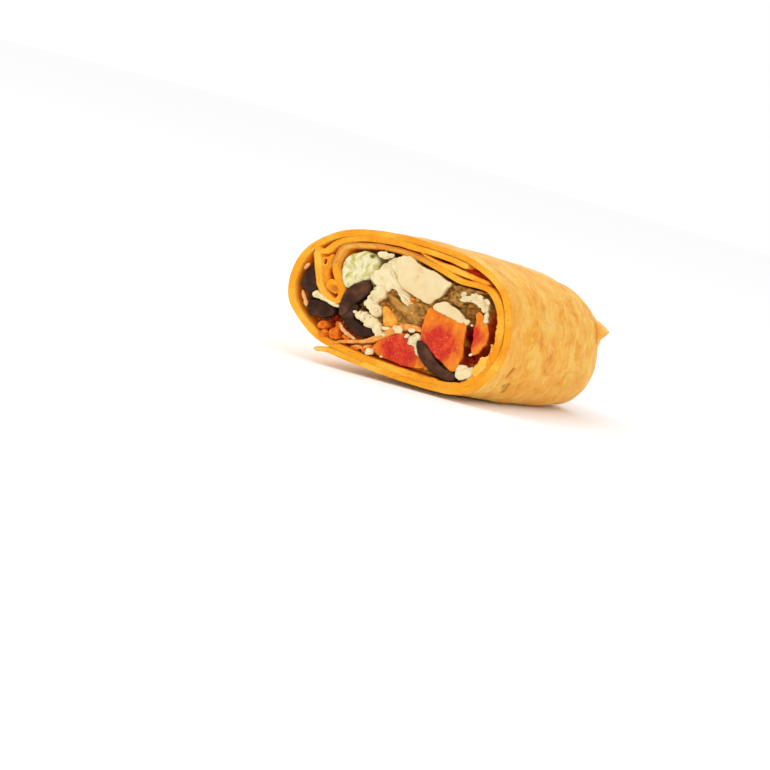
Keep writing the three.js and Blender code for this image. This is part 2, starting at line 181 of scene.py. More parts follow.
# ------------------------------------------------------------------ curves

def spline_at(points, closed, t):
    """Places on a centripetal Catmull-Rom curve through 2-D points, by the points' numbers."""
    points = np.asarray(points, float)
    n = len(points)
    if closed:
        t = np.mod(t, n)
    first = np.minimum(np.floor(t).astype(int), n - 1 if closed else n - 2)
    w = (t - first)[:, None]
    if closed:
        p0, p1, p2, p3 = (points[(first + k) % n] for k in (-1, 0, 1, 2))
    else:
        long = np.vstack([2 * points[0] - points[1], points, 2 * points[-1] - points[-2]])
        p0, p1, p2, p3 = (long[first + k] for k in (0, 1, 2, 3))
    d0, d1, d2 = (np.maximum(np.sum((q - p) ** 2, 1), 1e-9)[:, None] ** 0.25
                  for p, q in ((p0, p1), (p1, p2), (p2, p3)))
    m1 = ((p1 - p0) / d0 - (p2 - p0) / (d0 + d1) + (p2 - p1) / d1) * d1
    m2 = ((p2 - p1) / d1 - (p3 - p1) / (d1 + d2) + (p3 - p2) / d2) * d1
    return p1 + m1 * w + (-3 * p1 + 3 * p2 - 2 * m1 - m2) * w ** 2 + (2 * p1 - 2 * p2 + m1 + m2) * w ** 3


def distances(line):
    """How far along the line each of its points is."""
    return np.concatenate([[0], np.cumsum(np.linalg.norm(np.diff(line, axis=0), axis=1))])


def even(points, step, closed=False, count=400):
    """A curve through the points, as a line with points a step apart, or as near to it as fits."""
    n = len(points)
    t = np.arange(count) / count * n if closed else np.linspace(0, n - 1, count)
    return evened(spline_at(points, closed, t), step, closed)


def evened(points, step, closed=False):
    """The same line with its points a step apart, or as near to it as fits."""
    line = np.vstack([points, points[:1]]) if closed else points
    length = distances(line)
    count = max(int(round(length[-1] / step)), 3)
    at = np.linspace(0, length[-1], count + 1)[:count if closed else count + 1]
    return np.stack([np.interp(at, length, line[:, k]) for k in (0, 1)], 1)


def left_of(line, closed=False, ease=0):
    """The unit vector to the left of the line at each point; ease evens it out along the line."""
    along = np.roll(line, -1, 0) - np.roll(line, 1, 0) if closed else np.gradient(line, axis=0)
    normal = np.stack([-along[:, 1], along[:, 0]], 1)
    for _ in range(ease):
        normal[1:-1] = (normal[:-2] + 2 * normal[1:-1] + normal[2:]) / 4
    return normal / np.linalg.norm(normal, axis=1)[:, None]


def area(line):
    """The area inside a closed line, negative if it runs clockwise."""
    after = np.roll(line, -1, 0)
    return 0.5 * np.sum(line[:, 0] * after[:, 1] - line[:, 1] * after[:, 0])


def raised(flat, height=0.0):
    """2-D places with a third coordinate."""
    return np.column_stack([flat, np.broadcast_to(height, len(flat))])


def turned(flat, degrees):
    """2-D places, measured along and across a direction, with a third coordinate of 0."""
    a = math.radians(degrees)
    return raised(np.stack([flat @ [math.cos(a), math.sin(a)], flat @ [-math.sin(a), math.cos(a)]], 1))


# ------------------------------------------------------------------ meshes


def outward(points, faces):
    """The faces, all turned over if they enclose a negative volume."""
    fans = np.array([(f[0], f[k], f[k + 1]) for f in faces for k in range(1, len(f) - 1)])
    a, b, c = (points[fans[:, k]] for k in range(3))
    return faces if np.sum(a * np.cross(b, c)) > 0 else [f[::-1] for f in faces]


def build(name, points, faces, look, node=None, **fields):
    """A piece in metres from points in millimetres. It may stand for a CAD node. Its fields are
    one number or three a point; a field that the look reads and that isn't given is 0."""
    mesh = bpy.data.meshes.new(name)
    faces = outward(points, [list(map(int, f)) for f in faces])
    mesh.from_pydata((points * MM).tolist(), [], faces)
    mesh.validate()
    mesh.polygons.foreach_set("use_smooth", np.ones(len(mesh.polygons), bool))
    for key, values in fields.items():
        values = np.asarray(values, float)
        single = values.ndim == 1
        layer = mesh.attributes.new(key, "FLOAT" if single else "FLOAT_VECTOR", "POINT")
        layer.data.foreach_set("value" if single else "vector", values.ravel())
    mesh.materials.append(LOOKS[look])
    piece = bpy.data.objects.new(name, mesh)
    bpy.context.collection.objects.link(piece)
    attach(piece, "root")
    if node:
        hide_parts(node)


def grid_faces(rows, columns, start=0):
    """Quads over rings of points stored one after the other."""
    r, c = np.meshgrid(np.arange(rows - 1), np.arange(columns), indexing="ij")
    d = (c + 1) % columns
    quads = np.stack([r * columns + c, r * columns + d, (r + 1) * columns + d, (r + 1) * columns + c], -1)
    return (quads.reshape(-1, 4) + start).tolist()


def run_back(faces, order, start, rings):
    """The faces of a front, and those from its outline back through some rings to one last point."""
    faces, previous, count = list(faces), list(order), len(order)
    for _ in range(rings):
        ring = list(range(start, start + count))
        faces += [[previous[i], ring[i], ring[(i + 1) % count], previous[(i + 1) % count]]
                  for i in range(count)]
        previous, start = ring, start + count
    return faces + [[previous[(i + 1) % count], previous[i], start] for i in range(count)]


# ------------------------------------------------------------------ materials

SOFT_RADIUS = (1.0, 0.55, 0.3)   # how far red, green and blue light spread under a moist surface


def colour(tone):
    """A tone for a shader, or a socket as it is."""
    if isinstance(tone, bpy.types.NodeSocket):
        return tone
    return (*(c / 255 / 12.92 if c < 11 else ((c / 255 + 0.055) / 1.055) ** 2.4 for c in tone), 1.0)


class Shader:
    """A material, with its nodes made one at a time. Sizes are in millimetres."""

    def __init__(self, name, rough, soft=0.0, depth=1.2, shine=0.16):
        self.material = bpy.data.materials.new(name)
        self.material.use_nodes = True
        self.tree = self.material.node_tree
        self.surface = self.tree.nodes["Principled BSDF"]
        self.set(self.surface, {"Roughness": rough, "Specular IOR Level": shine, "Subsurface Weight": soft,
                                "Subsurface Scale": depth * MM, "Subsurface Radius": SOFT_RADIUS})
        self.place = self.node("ShaderNodeTexCoord").outputs["Object"]

    def set(self, node, inputs):
        for key, value in inputs.items():
            if isinstance(value, bpy.types.NodeSocket):
                self.tree.links.new(value, node.inputs[key])
            else:
                node.inputs[key].default_value = value

    def node(self, kind, inputs=None, **settings):
        node = self.tree.nodes.new(kind)
        for key, value in settings.items():
            setattr(node, key, value)
        self.set(node, inputs or {})
        return node

    def field(self, name, output="Fac"):
        """A field of the mesh: a number, or with another output a vector or a colour."""
        return self.node("ShaderNodeAttribute", attribute_name=name).outputs[output]

    def scaled(self, vector, size):
        if vector is None:
            vector, size = self.place, np.multiply(size, MM)
        scale = [1 / s for s in np.broadcast_to(size, 3)]
        return self.node("ShaderNodeMapping", {"Vector": vector, "Scale": scale}).outputs[0]

    def noise(self, size, detail=3.0, rough=0.55, vector=None, swirl=0.0):
        """Noise of a feature size, in space, or along a field in millimetres."""
        inputs = {"Vector": self.scaled(vector, size), "Scale": 1.0, "Detail": detail, "Roughness": rough,
                  "Distortion": swirl}
        return self.node("ShaderNodeTexNoise", inputs).outputs["Fac"]

    def spots(self, size, vector=None):
        """Distance from a random point in each cell."""
        inputs = {"Vector": self.scaled(vector, size), "Scale": 1.0}
        return self.node("ShaderNodeTexVoronoi", inputs).outputs["Distance"]

    def band(self, value, low, high):
        """0 below low and 1 above high, or the other way round where low is the larger."""
        inputs = {"Value": value, "From Min": low, "From Max": high}
        return self.node("ShaderNodeMapRange", inputs).outputs["Result"]

    def math(self, operation, first, second):
        return self.node("ShaderNodeMath", {0: first, 1: second}, operation=operation).outputs[0]

    def ramp(self, value, *stops):
        """Tones between some values. A stop is the value and its tone."""
        node = self.node("ShaderNodeValToRGB", {"Fac": value})
        elements = node.color_ramp.elements
        while len(elements) < len(stops):
            elements.new(1.0)
        for element, (at, *tone) in zip(elements, stops):
            element.position = at
            element.color = colour(tone)
        return node.outputs["Color"]

    def over(self, base, cover, tone, most=1.0, blend="MIX"):
        """A tone laid over the base as far as the cover says, and most of it at the most."""
        if most < 1:
            cover = self.math("MULTIPLY", cover, most)
        inputs = {0: cover, 6: colour(base), 7: colour(tone)}
        return self.node("ShaderNodeMix", inputs, data_type="RGBA", blend_type=blend).outputs[2]

    def finish(self, base, *bumps):
        """Sets the colour, and the fine relief from some heights with their depths."""
        inputs = {"Base Color": colour(base)}
        for height, depth in bumps:
            bump = {"Height": height, "Strength": 1.0, "Distance": depth * MM}
            if "Normal" in inputs:
                bump["Normal"] = inputs["Normal"]
            inputs["Normal"] = self.node("ShaderNodeBump", bump).outputs["Normal"]
        self.set(self.surface, inputs)
        return self.material


def tortilla_material():
    """Baked dough: a mottled skin, an orange inner side and a layered, crumbly cut edge, with painted shade
    far into the roll and in its creases.
    """
    look = Shader("tortilla", 0.5, 0.25, 0.9)
    flow = look.field("flow", "Vector")
    blotches = look.noise((9, 8, 5), 4, 0.62, flow, 0.6)
    streaks = look.noise((7, 2.4, 3), 4, 0.6, flow, 0.9)
    warm = look.noise((34, 20, 9), 2, 0.5, flow, 0.4)
    grain = look.noise((1.8, 0.8, 0.8), 3, 0.6, flow, 0.4)
    dapple = look.noise((3.6, 1.5, 2), 3, 0.65, flow, 0.8)
    specks = look.spots((3.4, 3.0, 3.0), flow)
    skin = look.ramp(blotches, (0.36, 243, 194, 94), (0.5, 239, 178, 72), (0.6, 233, 160, 52),
                     (0.72, 216, 134, 36))
    skin = look.over(skin, look.band(warm, 0.5, 0.62), look.over(skin, 0.5, (238, 160, 48)))
    skin = look.over(skin, look.band(streaks, 0.56, 0.72), (218, 142, 48), 0.45)
    skin = look.over(skin, look.band(streaks, 0.44, 0.3), (246, 202, 106), 0.6)
    skin = look.over(skin, look.band(dapple, 0.56, 0.68), (206, 134, 52), 0.4)
    skin = look.over(skin, look.band(dapple, 0.44, 0.32), (250, 212, 124), 0.4)
    skin = look.over(skin, look.band(specks, 0.11, 0.04), (180, 104, 36), 0.5)
    # The inner side: partly the dough's own orange, and partly painted shade and a painted warm glow of
    # light coming through the dough.
    inner = look.over((248, 140, 16), look.band(blotches, 0.4, 0.65), (238, 112, 8))
    skin = look.over(skin, look.field("inside"), inner)
    lines = look.noise((5, 50, 0.5), 3, 0.55, flow, 0.5)
    crumb = look.noise(0.55, 3)
    broad = look.noise((11, 50, 50), 3, 0.5, flow)
    edge = look.ramp(broad, (0.36, 245, 154, 20), (0.5, 250, 170, 34), (0.66, 254, 192, 64))
    edge = look.over(edge, look.band(lines, 0.4, 0.3), (226, 112, 8), 0.6)
    edge = look.over(edge, look.band(crumb, 0.38, 0.28), (218, 104, 6), 0.8)
    base = look.over(skin, look.field("cut"), edge)
    # Painted shade: dark red far into the roll, in holes and on sides that run back, as the field says.
    base = look.over(base, look.field("deep"), (184, 50, 2))
    # Painted shade: brown in the creases of the wall and of the folded end.
    base = look.over(base, look.field("gash"), (176, 92, 34))
    base = look.over(base, look.field("pale"), (250, 206, 124))
    return look.finish(base, (grain, 0.16), (streaks, 0.2), (crumb, 0.14))


def chicken_material(name, pale, mid, shade, rough=0.42, size=3.2, stops=(0.3, 0.58, 0.85)):
    """Cooked meat, with its fibres along the grain, and painted shade at its rim and on its sides."""
    look = Shader(name, rough, 0.35)
    fibre = look.noise((3.2, 0.5, 1.0), 3, 0.6, look.field("grain", "Vector"))
    base = look.ramp(look.noise(size, 3), (stops[0], *pale), (stops[1], *mid), (stops[2], *shade))
    base = look.over(base, look.band(fibre, 0.42, 0.28), shade, 0.6)
    # Painted shade: the shade tone at the rim and on the sides, and a warmer, darker tone where the dark
    # field says.
    base = look.over(base, look.field("rim"), shade, 0.6)
    base = look.over(base, look.field("dark"), look.over(shade, 0.5, (120, 60, 16)), 0.8)
    return look.finish(base, (look.noise(0.9, 3), 0.14), (fibre, 0.25))


def lettuce_material():
    """A pale, wet rib with green veins."""
    look = Shader("lettuce", 0.35, 0.4, 1.4)
    veins = look.noise((3.2, 1.9, 3), 4, 0.55, look.field("grain", "Vector"), 0.4)
    base = look.ramp(veins, (0.34, 246, 236, 206), (0.48, 236, 226, 174), (0.58, 214, 204, 126),
                     (0.7, 176, 172, 76))
    # Painted shade: darker green on the sides, at a spot where the dark field says, and at the rim.
    base = look.over(base, look.field("dark"), (104, 100, 20))
    base = look.over(base, look.field("rim"), (170, 150, 64), 0.5)
    return look.finish(base, (look.noise(0.8, 3), 0.24), (veins, 0.5))


def olive_material():
    """Smooth dark flesh, nearly black at the rim, with fine pale dots."""
    look = Shader("olive", 0.3, 0.1, 0.6, 0.14)
    base = look.ramp(look.noise(4.5, 3, 0.5), (0.35, 54, 28, 14), (0.52, 80, 46, 28), (0.7, 108, 68, 44))
    # The rim is the dark skin; the dark field adds painted shade on the sides that run back, and darkens
    # some pieces all over.
    base = look.over(base, look.field("rim"), (24, 14, 8))
    base = look.over(base, look.field("dark"), (24, 14, 6))
    base = look.over(base, look.band(look.spots(0.9), 0.12, 0.04), (150, 120, 96), 0.35)
    return look.finish(base, (look.noise(0.7, 3), 0.08))


def tomato_material():
    """Red wet flesh that turns orange towards the skin, as the margin field says, with pale specks that are
    partly pulp and partly painted highlights.
    """
    look = Shader("tomato", 0.24, 0.4, 1.2, 0.24)
    patches = look.noise((2.2, 2.2, 3.8), 4, 0.65, None, 0.5)
    flesh = look.ramp(patches, (0.3, 196, 24, 8), (0.5, 214, 48, 18), (0.7, 228, 88, 30))
    skin = look.ramp(patches, (0.3, 232, 110, 6), (0.55, 242, 140, 18), (0.76, 248, 162, 40))
    uneven = look.math("MULTIPLY", look.band(patches, 0.3, 0.7), 0.2)
    margin = look.math("ADD", look.field("margin"), uneven)
    base = look.over(flesh, look.band(margin, 0.15, 1.0), skin)
    # Painted shade: dark red on the sides that run back into the roll.
    base = look.over(base, look.field("dark"), (150, 14, 2))
    # Pale specks: pulp, and painted wet highlights.
    base = look.over(base, look.band(look.noise(0.6, 2), 0.62, 0.74), (250, 172, 96), 0.6)
    return look.finish(base, (look.noise(1.1, 3), 0.34))


def cheese_material(name, pale, mid, shade):
    """Soft food without a grain: cheese, and grated carrot."""
    look = Shader(name, 0.5, 0.35)
    base = look.ramp(look.noise(1.6, 4, 0.65), (0.34, *pale), (0.52, *mid), (0.7, *shade))
    # Painted shade: the shade tone at the rim and on the sides, warmer and darker where the dark field says.
    base = look.over(base, look.field("rim"), shade, 0.6)
    base = look.over(base, look.field("dark"), look.over(shade, 0.5, (120, 60, 16)), 0.7)
    return look.finish(base, (look.noise(0.5, 4), 0.3))


def filling_material():
    """The mixed filling, in the tint that its mesh carries."""
    look = Shader("filling", 0.35, 0.3, 1.2, 0.08)
    patches = look.band(look.noise(3.0, 4, 0.6), 0.4, 0.6)
    lights = look.over((186, 180, 172), patches, (255, 255, 255))
    base = look.over(look.field("tint", "Color"), 1.0, lights, blend="MULTIPLY")
    return look.finish(base, (look.noise(0.9, 3), 0.4))


CHICKENS = {
    "chicken": ((242, 221, 175), (238, 213, 160), (220, 184, 116)),
    "chicken_pale": ((248, 234, 192), (243, 225, 178), (226, 196, 134)),
    "browned": ((214, 164, 84), (188, 132, 56), (132, 80, 26), 0.32),
    "browned_dark": ((212, 160, 80), (174, 122, 52), (102, 66, 18), 0.3, 2.2, (0.34, 0.52, 0.68)),
}
CHEESES = {
    "cheese": ((252, 236, 196), (247, 225, 176), (230, 196, 134)),
    "cheddar": ((252, 196, 92), (247, 174, 60), (230, 140, 34)),
    "carrot": ((244, 146, 44), (232, 116, 16), (206, 80, 4)),
    "carrot_pale": ((248, 188, 110), (242, 162, 76), (228, 122, 40)),
    "pink": ((240, 196, 140), (234, 170, 108), (222, 136, 72)),
}
LOOKS = {
    "tortilla": tortilla_material(),
    "lettuce": lettuce_material(),
    "olive": olive_material(),
    "tomato": tomato_material(),
    "filling": filling_material(),
    **{name: chicken_material(name, *tones) for name, tones in CHICKENS.items()},
    **{name: cheese_material(name, *tones) for name, tones in CHEESES.items()},
}


# ------------------------------------------------------------------ the tortilla

RING = [
    [-18.9, -15.7], [-4.6, -21.4], [13.2, -27], [20, -28.2], [25.7, -27], [31.1, -23.6], [37.5, -15],
    [39.5, -6.1], [38.6, 5.4], [34.3, 12.1], [25, 18.9], [11.4, 24.1], [-6.4, 28.4], [-19.6, 28.4],
    [-31.1, 23.2], [-36.8, 14.6], [-37.9, 5.7], [-34.6, -2.5], [-28.6, -10.7],
]
LAPS = len(RING)
FIRST_TURN_END = 16
SECOND_TURN_END = LAPS + 7.6
ring_points = section(RING)


def on_ring(station, depth=0.0):
    """Places on the outer turn's middle line, by its points' numbers, moved inwards by depth."""
    station = np.asarray(station, float)
    p = spline_at(ring_points, True, station)
    ahead = spline_at(ring_points, True, station + 0.002) - spline_at(ring_points, True, station - 0.002)
    left = np.stack([-ahead[:, 1], ahead[:, 0]], 1)
    return p + left / np.linalg.norm(left, axis=1)[:, None] * np.asarray(depth).reshape(-1, 1)


def turn(start, end, depth):
    """Points of the sheet from one station of the ring to another, at a depth or a function's."""
    count = max(int(abs(end - start) + 0.5), 1)
    stations = np.linspace(start, end, count + 1)
    return on_ring(stations, depth(stations) if callable(depth) else np.full(count + 1, float(depth)))


def second_depth(station):
    """The second turn slips under the first where that ends."""
    return PITCH * 1.02 * smooth(FIRST_TURN_END, LAPS - 0.4, station)


TONGUE = [
    [-20.9, 20.6], [-22.3, 17.3], [-21.9, 13.9], [-20.9, 10.4], [-20.3, 7.6], [-21.2, 5],
    [-23, 4.4], [-25, 5.8], [-27, 8.6], [-28.2, 11.6], [-28.7, 15.4], [-28.9, 19.2], [-28.8, 21.7],
]
HAIRPIN = [[-27.7, 22.3], [-25.9, 22.1], [-24.1, 23.0], [-22.3, 24.4], [-20.4, 25.5]]
FREE_EDGE = section([[-30.4, -12.5], [-25, -13.2]])
OUTER = turn(0, FIRST_TURN_END, 0)
SECOND = turn(FIRST_TURN_END + 1, SECOND_TURN_END, second_depth)
INNER = [
    section([[33.2, 7.9], [28.9, 10], [22.1, 11.6], [15, 15.7], [8.2, 19.4]]),
    turn(11.6, 13.1, 2 * PITCH + 0.1), section(TONGUE), section(HAIRPIN), turn(12.7, 10.6, PITCH - 0.1),
    section([[22.1, 17.6], [25, 16.1]]),
]
SHEET_LINE = np.vstack([FREE_EDGE, OUTER, SECOND, *INNER])

# Numbers of the sheet's points, where something starts or ends.
OUTER_FROM = len(FREE_EDGE)
OUTER_TO = OUTER_FROM + FIRST_TURN_END
SECOND_TO = OUTER_TO + 1 + len(SECOND)
WALL_TO = OUTER_TO + 3.1                 # the sheet is the outer wall up to here, under the free edge
TONGUE_FROM = SECOND_TO + 8
TONGUE_TO = TONGUE_FROM + len(TONGUE)
TOP_FROM = TONGUE_TO + len(HAIRPIN)      # the second layer at the top
INNER_EASE = 1.0                         # the inner turns start over this many points to each side
TORN = (SECOND_TO - 7, SECOND_TO - 1.5, 1.0)    # from, to and ease of the torn stretch of the second turn
ROUGH = [(6.2, 9.0), (11.4, 13.4), (25.2, 28.2)]    # the edge is torn between these
THIRD = (SECOND_TO + 3.6, TONGUE_FROM + 1.2, 1.6)    # the third layer at the top
# From, to, ease and how hard: where the sheet's inward and outward side is pressed against a turn.
PRESSED_IN = [(OUTER_FROM, OUTER_FROM + 6.2, 0.8, 1), (OUTER_FROM + 6.2, OUTER_FROM + 8, 0.8, 0.15),
              (OUTER_FROM + 11.4, OUTER_FROM + 13.2, 0.6, 0.8), (TOP_FROM - 0.6, TOP_FROM + 1.4, 0.6, 0.8)]
PRESSED_OUT = [(OUTER_TO + 1, SECOND_TO - 2.8, 1, 1), (SECOND_TO - 2.8, SECOND_TO, 1, 0.3)]

SHEET_STEP = 0.7                         # the mesh's, along the sheet
EDGE_STEPS = np.array([0.05, 0.18, 0.4, 0.75, 1.2, 1.8, 2.6, 3.6, 4.8])    # behind the cut
BACK_STEPS = 72                          # and from there to the far end
FACE_STEPS = np.array([-0.97, -0.88, -0.72, -0.5, -0.25, 0, 0.25, 0.5, 0.72, 0.88, 0.97])    # across it
BACK_Y = FOLD_Y + 2
FLAP_ROOT = (-12.0, -17.9)
FLAP_KEEP = 0.1
FLAP_BACK_Y = 18.0
FREE_TAPER = 3.0                         # the free edge thins out over this length
GAP_CLOSING = 0.16                       # behind the cut, each side swells by this much to close the gaps
EDGE_ROUND = 0.22                        # the cut edge's corners are rounded by this much
THIRD_BACK = 0.6                         # the third layer lies this much deeper
GASH_DEPTH = 0.7
SIDE_SHRINK = 0.45                       # the wall draws in under the side fold by this much

# Relief, as layers for waves().
LINE_RELIEF = (1.0, 6, 4, 2)
SIDE_RELIEF = [(0.08, 9, 7, 2), (0.08, 9, 8, 2)]
FUSED_RELIEF = (0.12, 7, 5, 2)
TORN_RELIEF = (1.0, 1.7, 9, 2)
TIP_RELIEF = (2.4, 1.4, 10, 2)
CUT_RELIEF = [(0.35, 8, 11, 2), (0.12, 1.7, 12, 2)]
DENTS = (0.55, (26, 11, 9), 3, 2)
WRINKLES = (0.22, (15, 2.3, 9), 4, 2)
WRINKLED = (0.5, (16, 12, 9), 5)
INSIDE_RELIEF = (0.18, (10, 3, 9), 21, 2)
PITS = [(0.16, (1.6, 0.45, 1), 31, 2), (0.1, (0.6, 0.5, 1), 32)]
LAYERS = (0.12, (7, 0.7, 1), 33, 2)
TORN_EDGE = (0.45, (1.5, 1.1, 1), 35, 2)

# The wall's short creases: the station and y of each end.
GASHES = [((4.3, 35.9), (4.95, 35.6)), ((4.65, 33.7), (4.85, 33.5)), ((5.3, 31.7), (5.65, 33.1))]


def draw_in(xz, y):
    """The free edge stands out at the cut and draws in under the roll further back."""
    flap = (xz[..., 0] < FLAP_ROOT[0]) & (xz[..., 1] < FLAP_ROOT[1])
    keep = 1 - (1 - FLAP_KEEP) * smooth(cut_y(xz), FLAP_BACK_Y, y)
    x = np.where(flap, FLAP_ROOT[0] + (xz[..., 0] - FLAP_ROOT[0]) * keep, xz[..., 0])
    return np.stack([x, xz[..., 1]], -1)


def wall_relief(arc, y):
    """How far the wall stands out at a place along its turn and along the roll: long dents,
    and fine wrinkles that run round the roll."""
    p = np.stack([arc + 0 * y, y, 0 * y], -1)
    return waves(p, DENTS) + waves(p, WRINKLES) * (0.5 + waves(p, WRINKLED))


def gashes(number, arc, y):
    """1 in the short creases of the wall and 0 away from them."""
    field = 0 * y
    for (s0, y0), (s1, y1) in GASHES:
        a = np.array([np.interp(s0 + OUTER_FROM, number, arc), y0])
        b = np.array([np.interp(s1 + OUTER_FROM, number, arc), y1])
        p = np.stack([arc[:, None] + 0 * y, y], -1) - a
        t = np.clip(p @ (b - a) / ((b - a) @ (b - a)), 0, 1)
        field = np.maximum(field, 1 - smooth(0.2, 0.9, np.linalg.norm(p - t[..., None] * (b - a), axis=-1)))
    return field


def sheet_line():
    """The sheet's middle line with even steps: places, distance along it, and point number."""
    dense = np.linspace(0, len(SHEET_LINE) - 1, 6000)
    arc = distances(spline_at(SHEET_LINE, False, dense))
    at = np.linspace(0, arc[-1], int(arc[-1] / SHEET_STEP))
    number = np.interp(at, arc, dense)
    return spline_at(SHEET_LINE, False, number), at, number


class Strip:
    """The sheet in section: its middle line, and how thick it is to each side of that."""

    def __init__(self):
        line, self.arc, self.number = sheet_line()
        arc, number = self.arc, self.number
        lie = self.lie = np.stack([arc, 0 * arc, 0 * arc], 1)
        inner = smooth(SECOND_TO - INNER_EASE, SECOND_TO + INNER_EASE, number)
        self.line = line + left_of(line, ease=2) * ((0.06 + 0.24 * inner) * waves(lie, LINE_RELIEF))[:, None]
        self.normal = left_of(self.line, ease=2)
        self.pressed = [sum(hard * band_of(number, *where) for *where, hard in places)
                        for places in (PRESSED_IN, PRESSED_OUT)]
        fused = 0.26 + waves(lie, FUSED_RELIEF)
        torn = (0.12 + 0.5 * band_of(number, *TORN)) * band_of(number, OUTER_TO + 3, SECOND_TO, 0.5)
        ends = np.sqrt(1 - (1 - np.clip(np.minimum(arc, arc[-1] - arc), 0, 1)) ** 2 * 0.98)
        ends = ends * (0.8 + 0.2 * smooth(0, FREE_TAPER, arc + waves(lie, TIP_RELIEF)))
        self.half_in, self.half_out = (
            (SHEET / 2 + waves(lie, relief) + pressed * fused + extra) * ends for relief, pressed, extra
            in zip(SIDE_RELIEF, self.pressed, (torn * waves(lie, TORN_RELIEF), 0)))
        self.cut_offset = waves(lie, *CUT_RELIEF)
        self.third = band_of(number, *THIRD)[:, None]

    def side(self, sign, half, swell):
        """One side's points from the cut backwards, and their y. swell says how far it stands out."""
        xz = self.line + self.normal * (sign * half)[:, None]
        front = (cut_y(xz) + self.cut_offset)[:, None]
        last = front + EDGE_STEPS[-1]
        back = np.arange(1, BACK_STEPS + 1) / BACK_STEPS
        y = np.concatenate([front + EDGE_STEPS, last + (BACK_Y - last) * back], 1)
        out = swell(y, y - cut_y(xz)[:, None])
        return xz[:, None, :] + sign * self.normal[:, None, :] * out[..., None], y

    def swell_out(self, y, behind):
        """How far the outward side stands out: the wall's relief, or what closes the gaps inside."""
        arc, number = self.arc[:, None], self.number[:, None]
        relief = wall_relief(arc, y) * (number < WALL_TO - 0.4) * (smooth(0, 9, behind) * 0.8 + 0.2)
        calm = smooth(0.5, 2.5, number) * (1 - smooth(WALL_TO - 1.2, WALL_TO - 0.4, number))
        shrink = SIDE_SHRINK * smooth(FOLD_Y - 10, FOLD_Y - 2, y)
        marks = GASH_DEPTH * gashes(self.number, self.arc, y) * (number < OUTER_TO)
        return relief * calm - shrink - marks + GAP_CLOSING * smooth(0.4, 2.2, behind) * (number > WALL_TO)

    def swell_in(self, y, behind):
        """How far the inward side stands out."""
        p = np.stack([self.arc[:, None] + 0 * y, y, 0 * y], -1)
        return waves(p, INSIDE_RELIEF) * smooth(0, 4, behind) + GAP_CLOSING * smooth(0.4, 2.2, behind)

    def face(self):
        """The cut edge's points, their y, and how far across the sheet they are."""
        w = FACE_STEPS[None, :]
        across = w * np.where(w < 0, self.half_out[:, None], self.half_in[:, None])
        place = self.line[:, None, :] + self.normal[:, None, :] * across[..., None]
        p = np.stack([self.arc[:, None] + 0 * w, across, 0 * across], -1)
        rough = np.sum([band_of(self.number, low, high, 0.8) for low, high in ROUGH], 0)[:, None]
        pits = waves(p, *PITS) + 0.7 * pitted(p, 2.1, 34, 2.6)
        pits = pits + rough * (waves(p, TORN_EDGE) - 0.5 * pitted(p, 1.7, 36, 2.2))
        corner = 1 - np.sqrt(1 - np.clip((np.abs(w) - 0.6) / 0.4, 0, 1) ** 2)
        pressed = np.where(w < 0, self.pressed[1][:, None], self.pressed[0][:, None])
        y = cut_y(place) + self.cut_offset[:, None] + EDGE_ROUND * corner * (1.5 - 1.3 * pressed)
        y = y + (pits + waves(p, LAYERS)) * (1 - np.abs(w) ** 6) + THIRD_BACK * self.third
        return place, y, across


def sheet():
    """The whole sheet: one closed strip in section, run from the cut to the folded end."""
    strip = Strip()
    out_place, out_y = strip.side(-1.0, strip.half_out, strip.swell_out)
    in_place, in_y = strip.side(1.0, strip.half_in, strip.swell_in)
    face, face_y, face_across = strip.face()
    place = np.concatenate([out_place[:, ::-1], face, in_place], 1)
    y = np.concatenate([out_y[:, ::-1], face_y, in_y], 1)
    across = np.concatenate([0 * out_y - strip.half_out[:, None], face_across,
                             0 * in_y + strip.half_in[:, None]], 1)
    rows, columns = y.shape
    flat = bend(draw_in(place, y), y).reshape(-1, 3)
    ends = [[[i + k, i + k + 1, i + columns - 2 - k, i + columns - 1 - k][::step]
             for k in range((columns - 1) // 2)] for i, step in ((0, -1), ((rows - 1) * columns, 1))]
    faces = grid_faces(rows, columns) + [list(dict.fromkeys(cap)) for cap in ends[0] + ends[1]]
    build("tortilla_sheet", flat, faces, "tortilla", "tortilla",
          flow=np.stack([strip.arc[:, None] + 0 * y, y, across], -1).reshape(-1, 3),
          **{key: field.ravel() for key, field in sheet_fields(strip, place, y, across).items()})


def sheet_fields(strip, place, y, across):
    """Where the sheet's look is that of its cut edge or its inner side, and where shade is painted: far into
    the roll, on the recessed third layer and in the wall's creases.
    """
    behind = y - cut_y(place) - strip.cut_offset[:, None]
    cut = 1 - smooth(0.15, 0.6, behind)
    outside = (across < -0.3) & (strip.number < WALL_TO)[:, None]
    # Painted shade: on the inner side it grows further back from the cut, the recessed third layer gets some
    # on its outer side, and the wall's creases get it too.
    deep = np.where(outside, 0.0, 0.8) * smooth(5, 16, behind)
    tip = 1 - smooth(0, 5, strip.arc)[:, None] + 0 * y
    return {"cut": cut,
            "inside": np.where(outside, 0.0, 1.0) * smooth(0.2, 1.5, behind),
            "deep": np.maximum(deep, 0.16 * strip.third * (1 - smooth(-0.8, 0.4, across)) * cut),
            "gash": gashes(strip.number, strip.arc, y) * outside,
            "pale": 0.5 * tip}


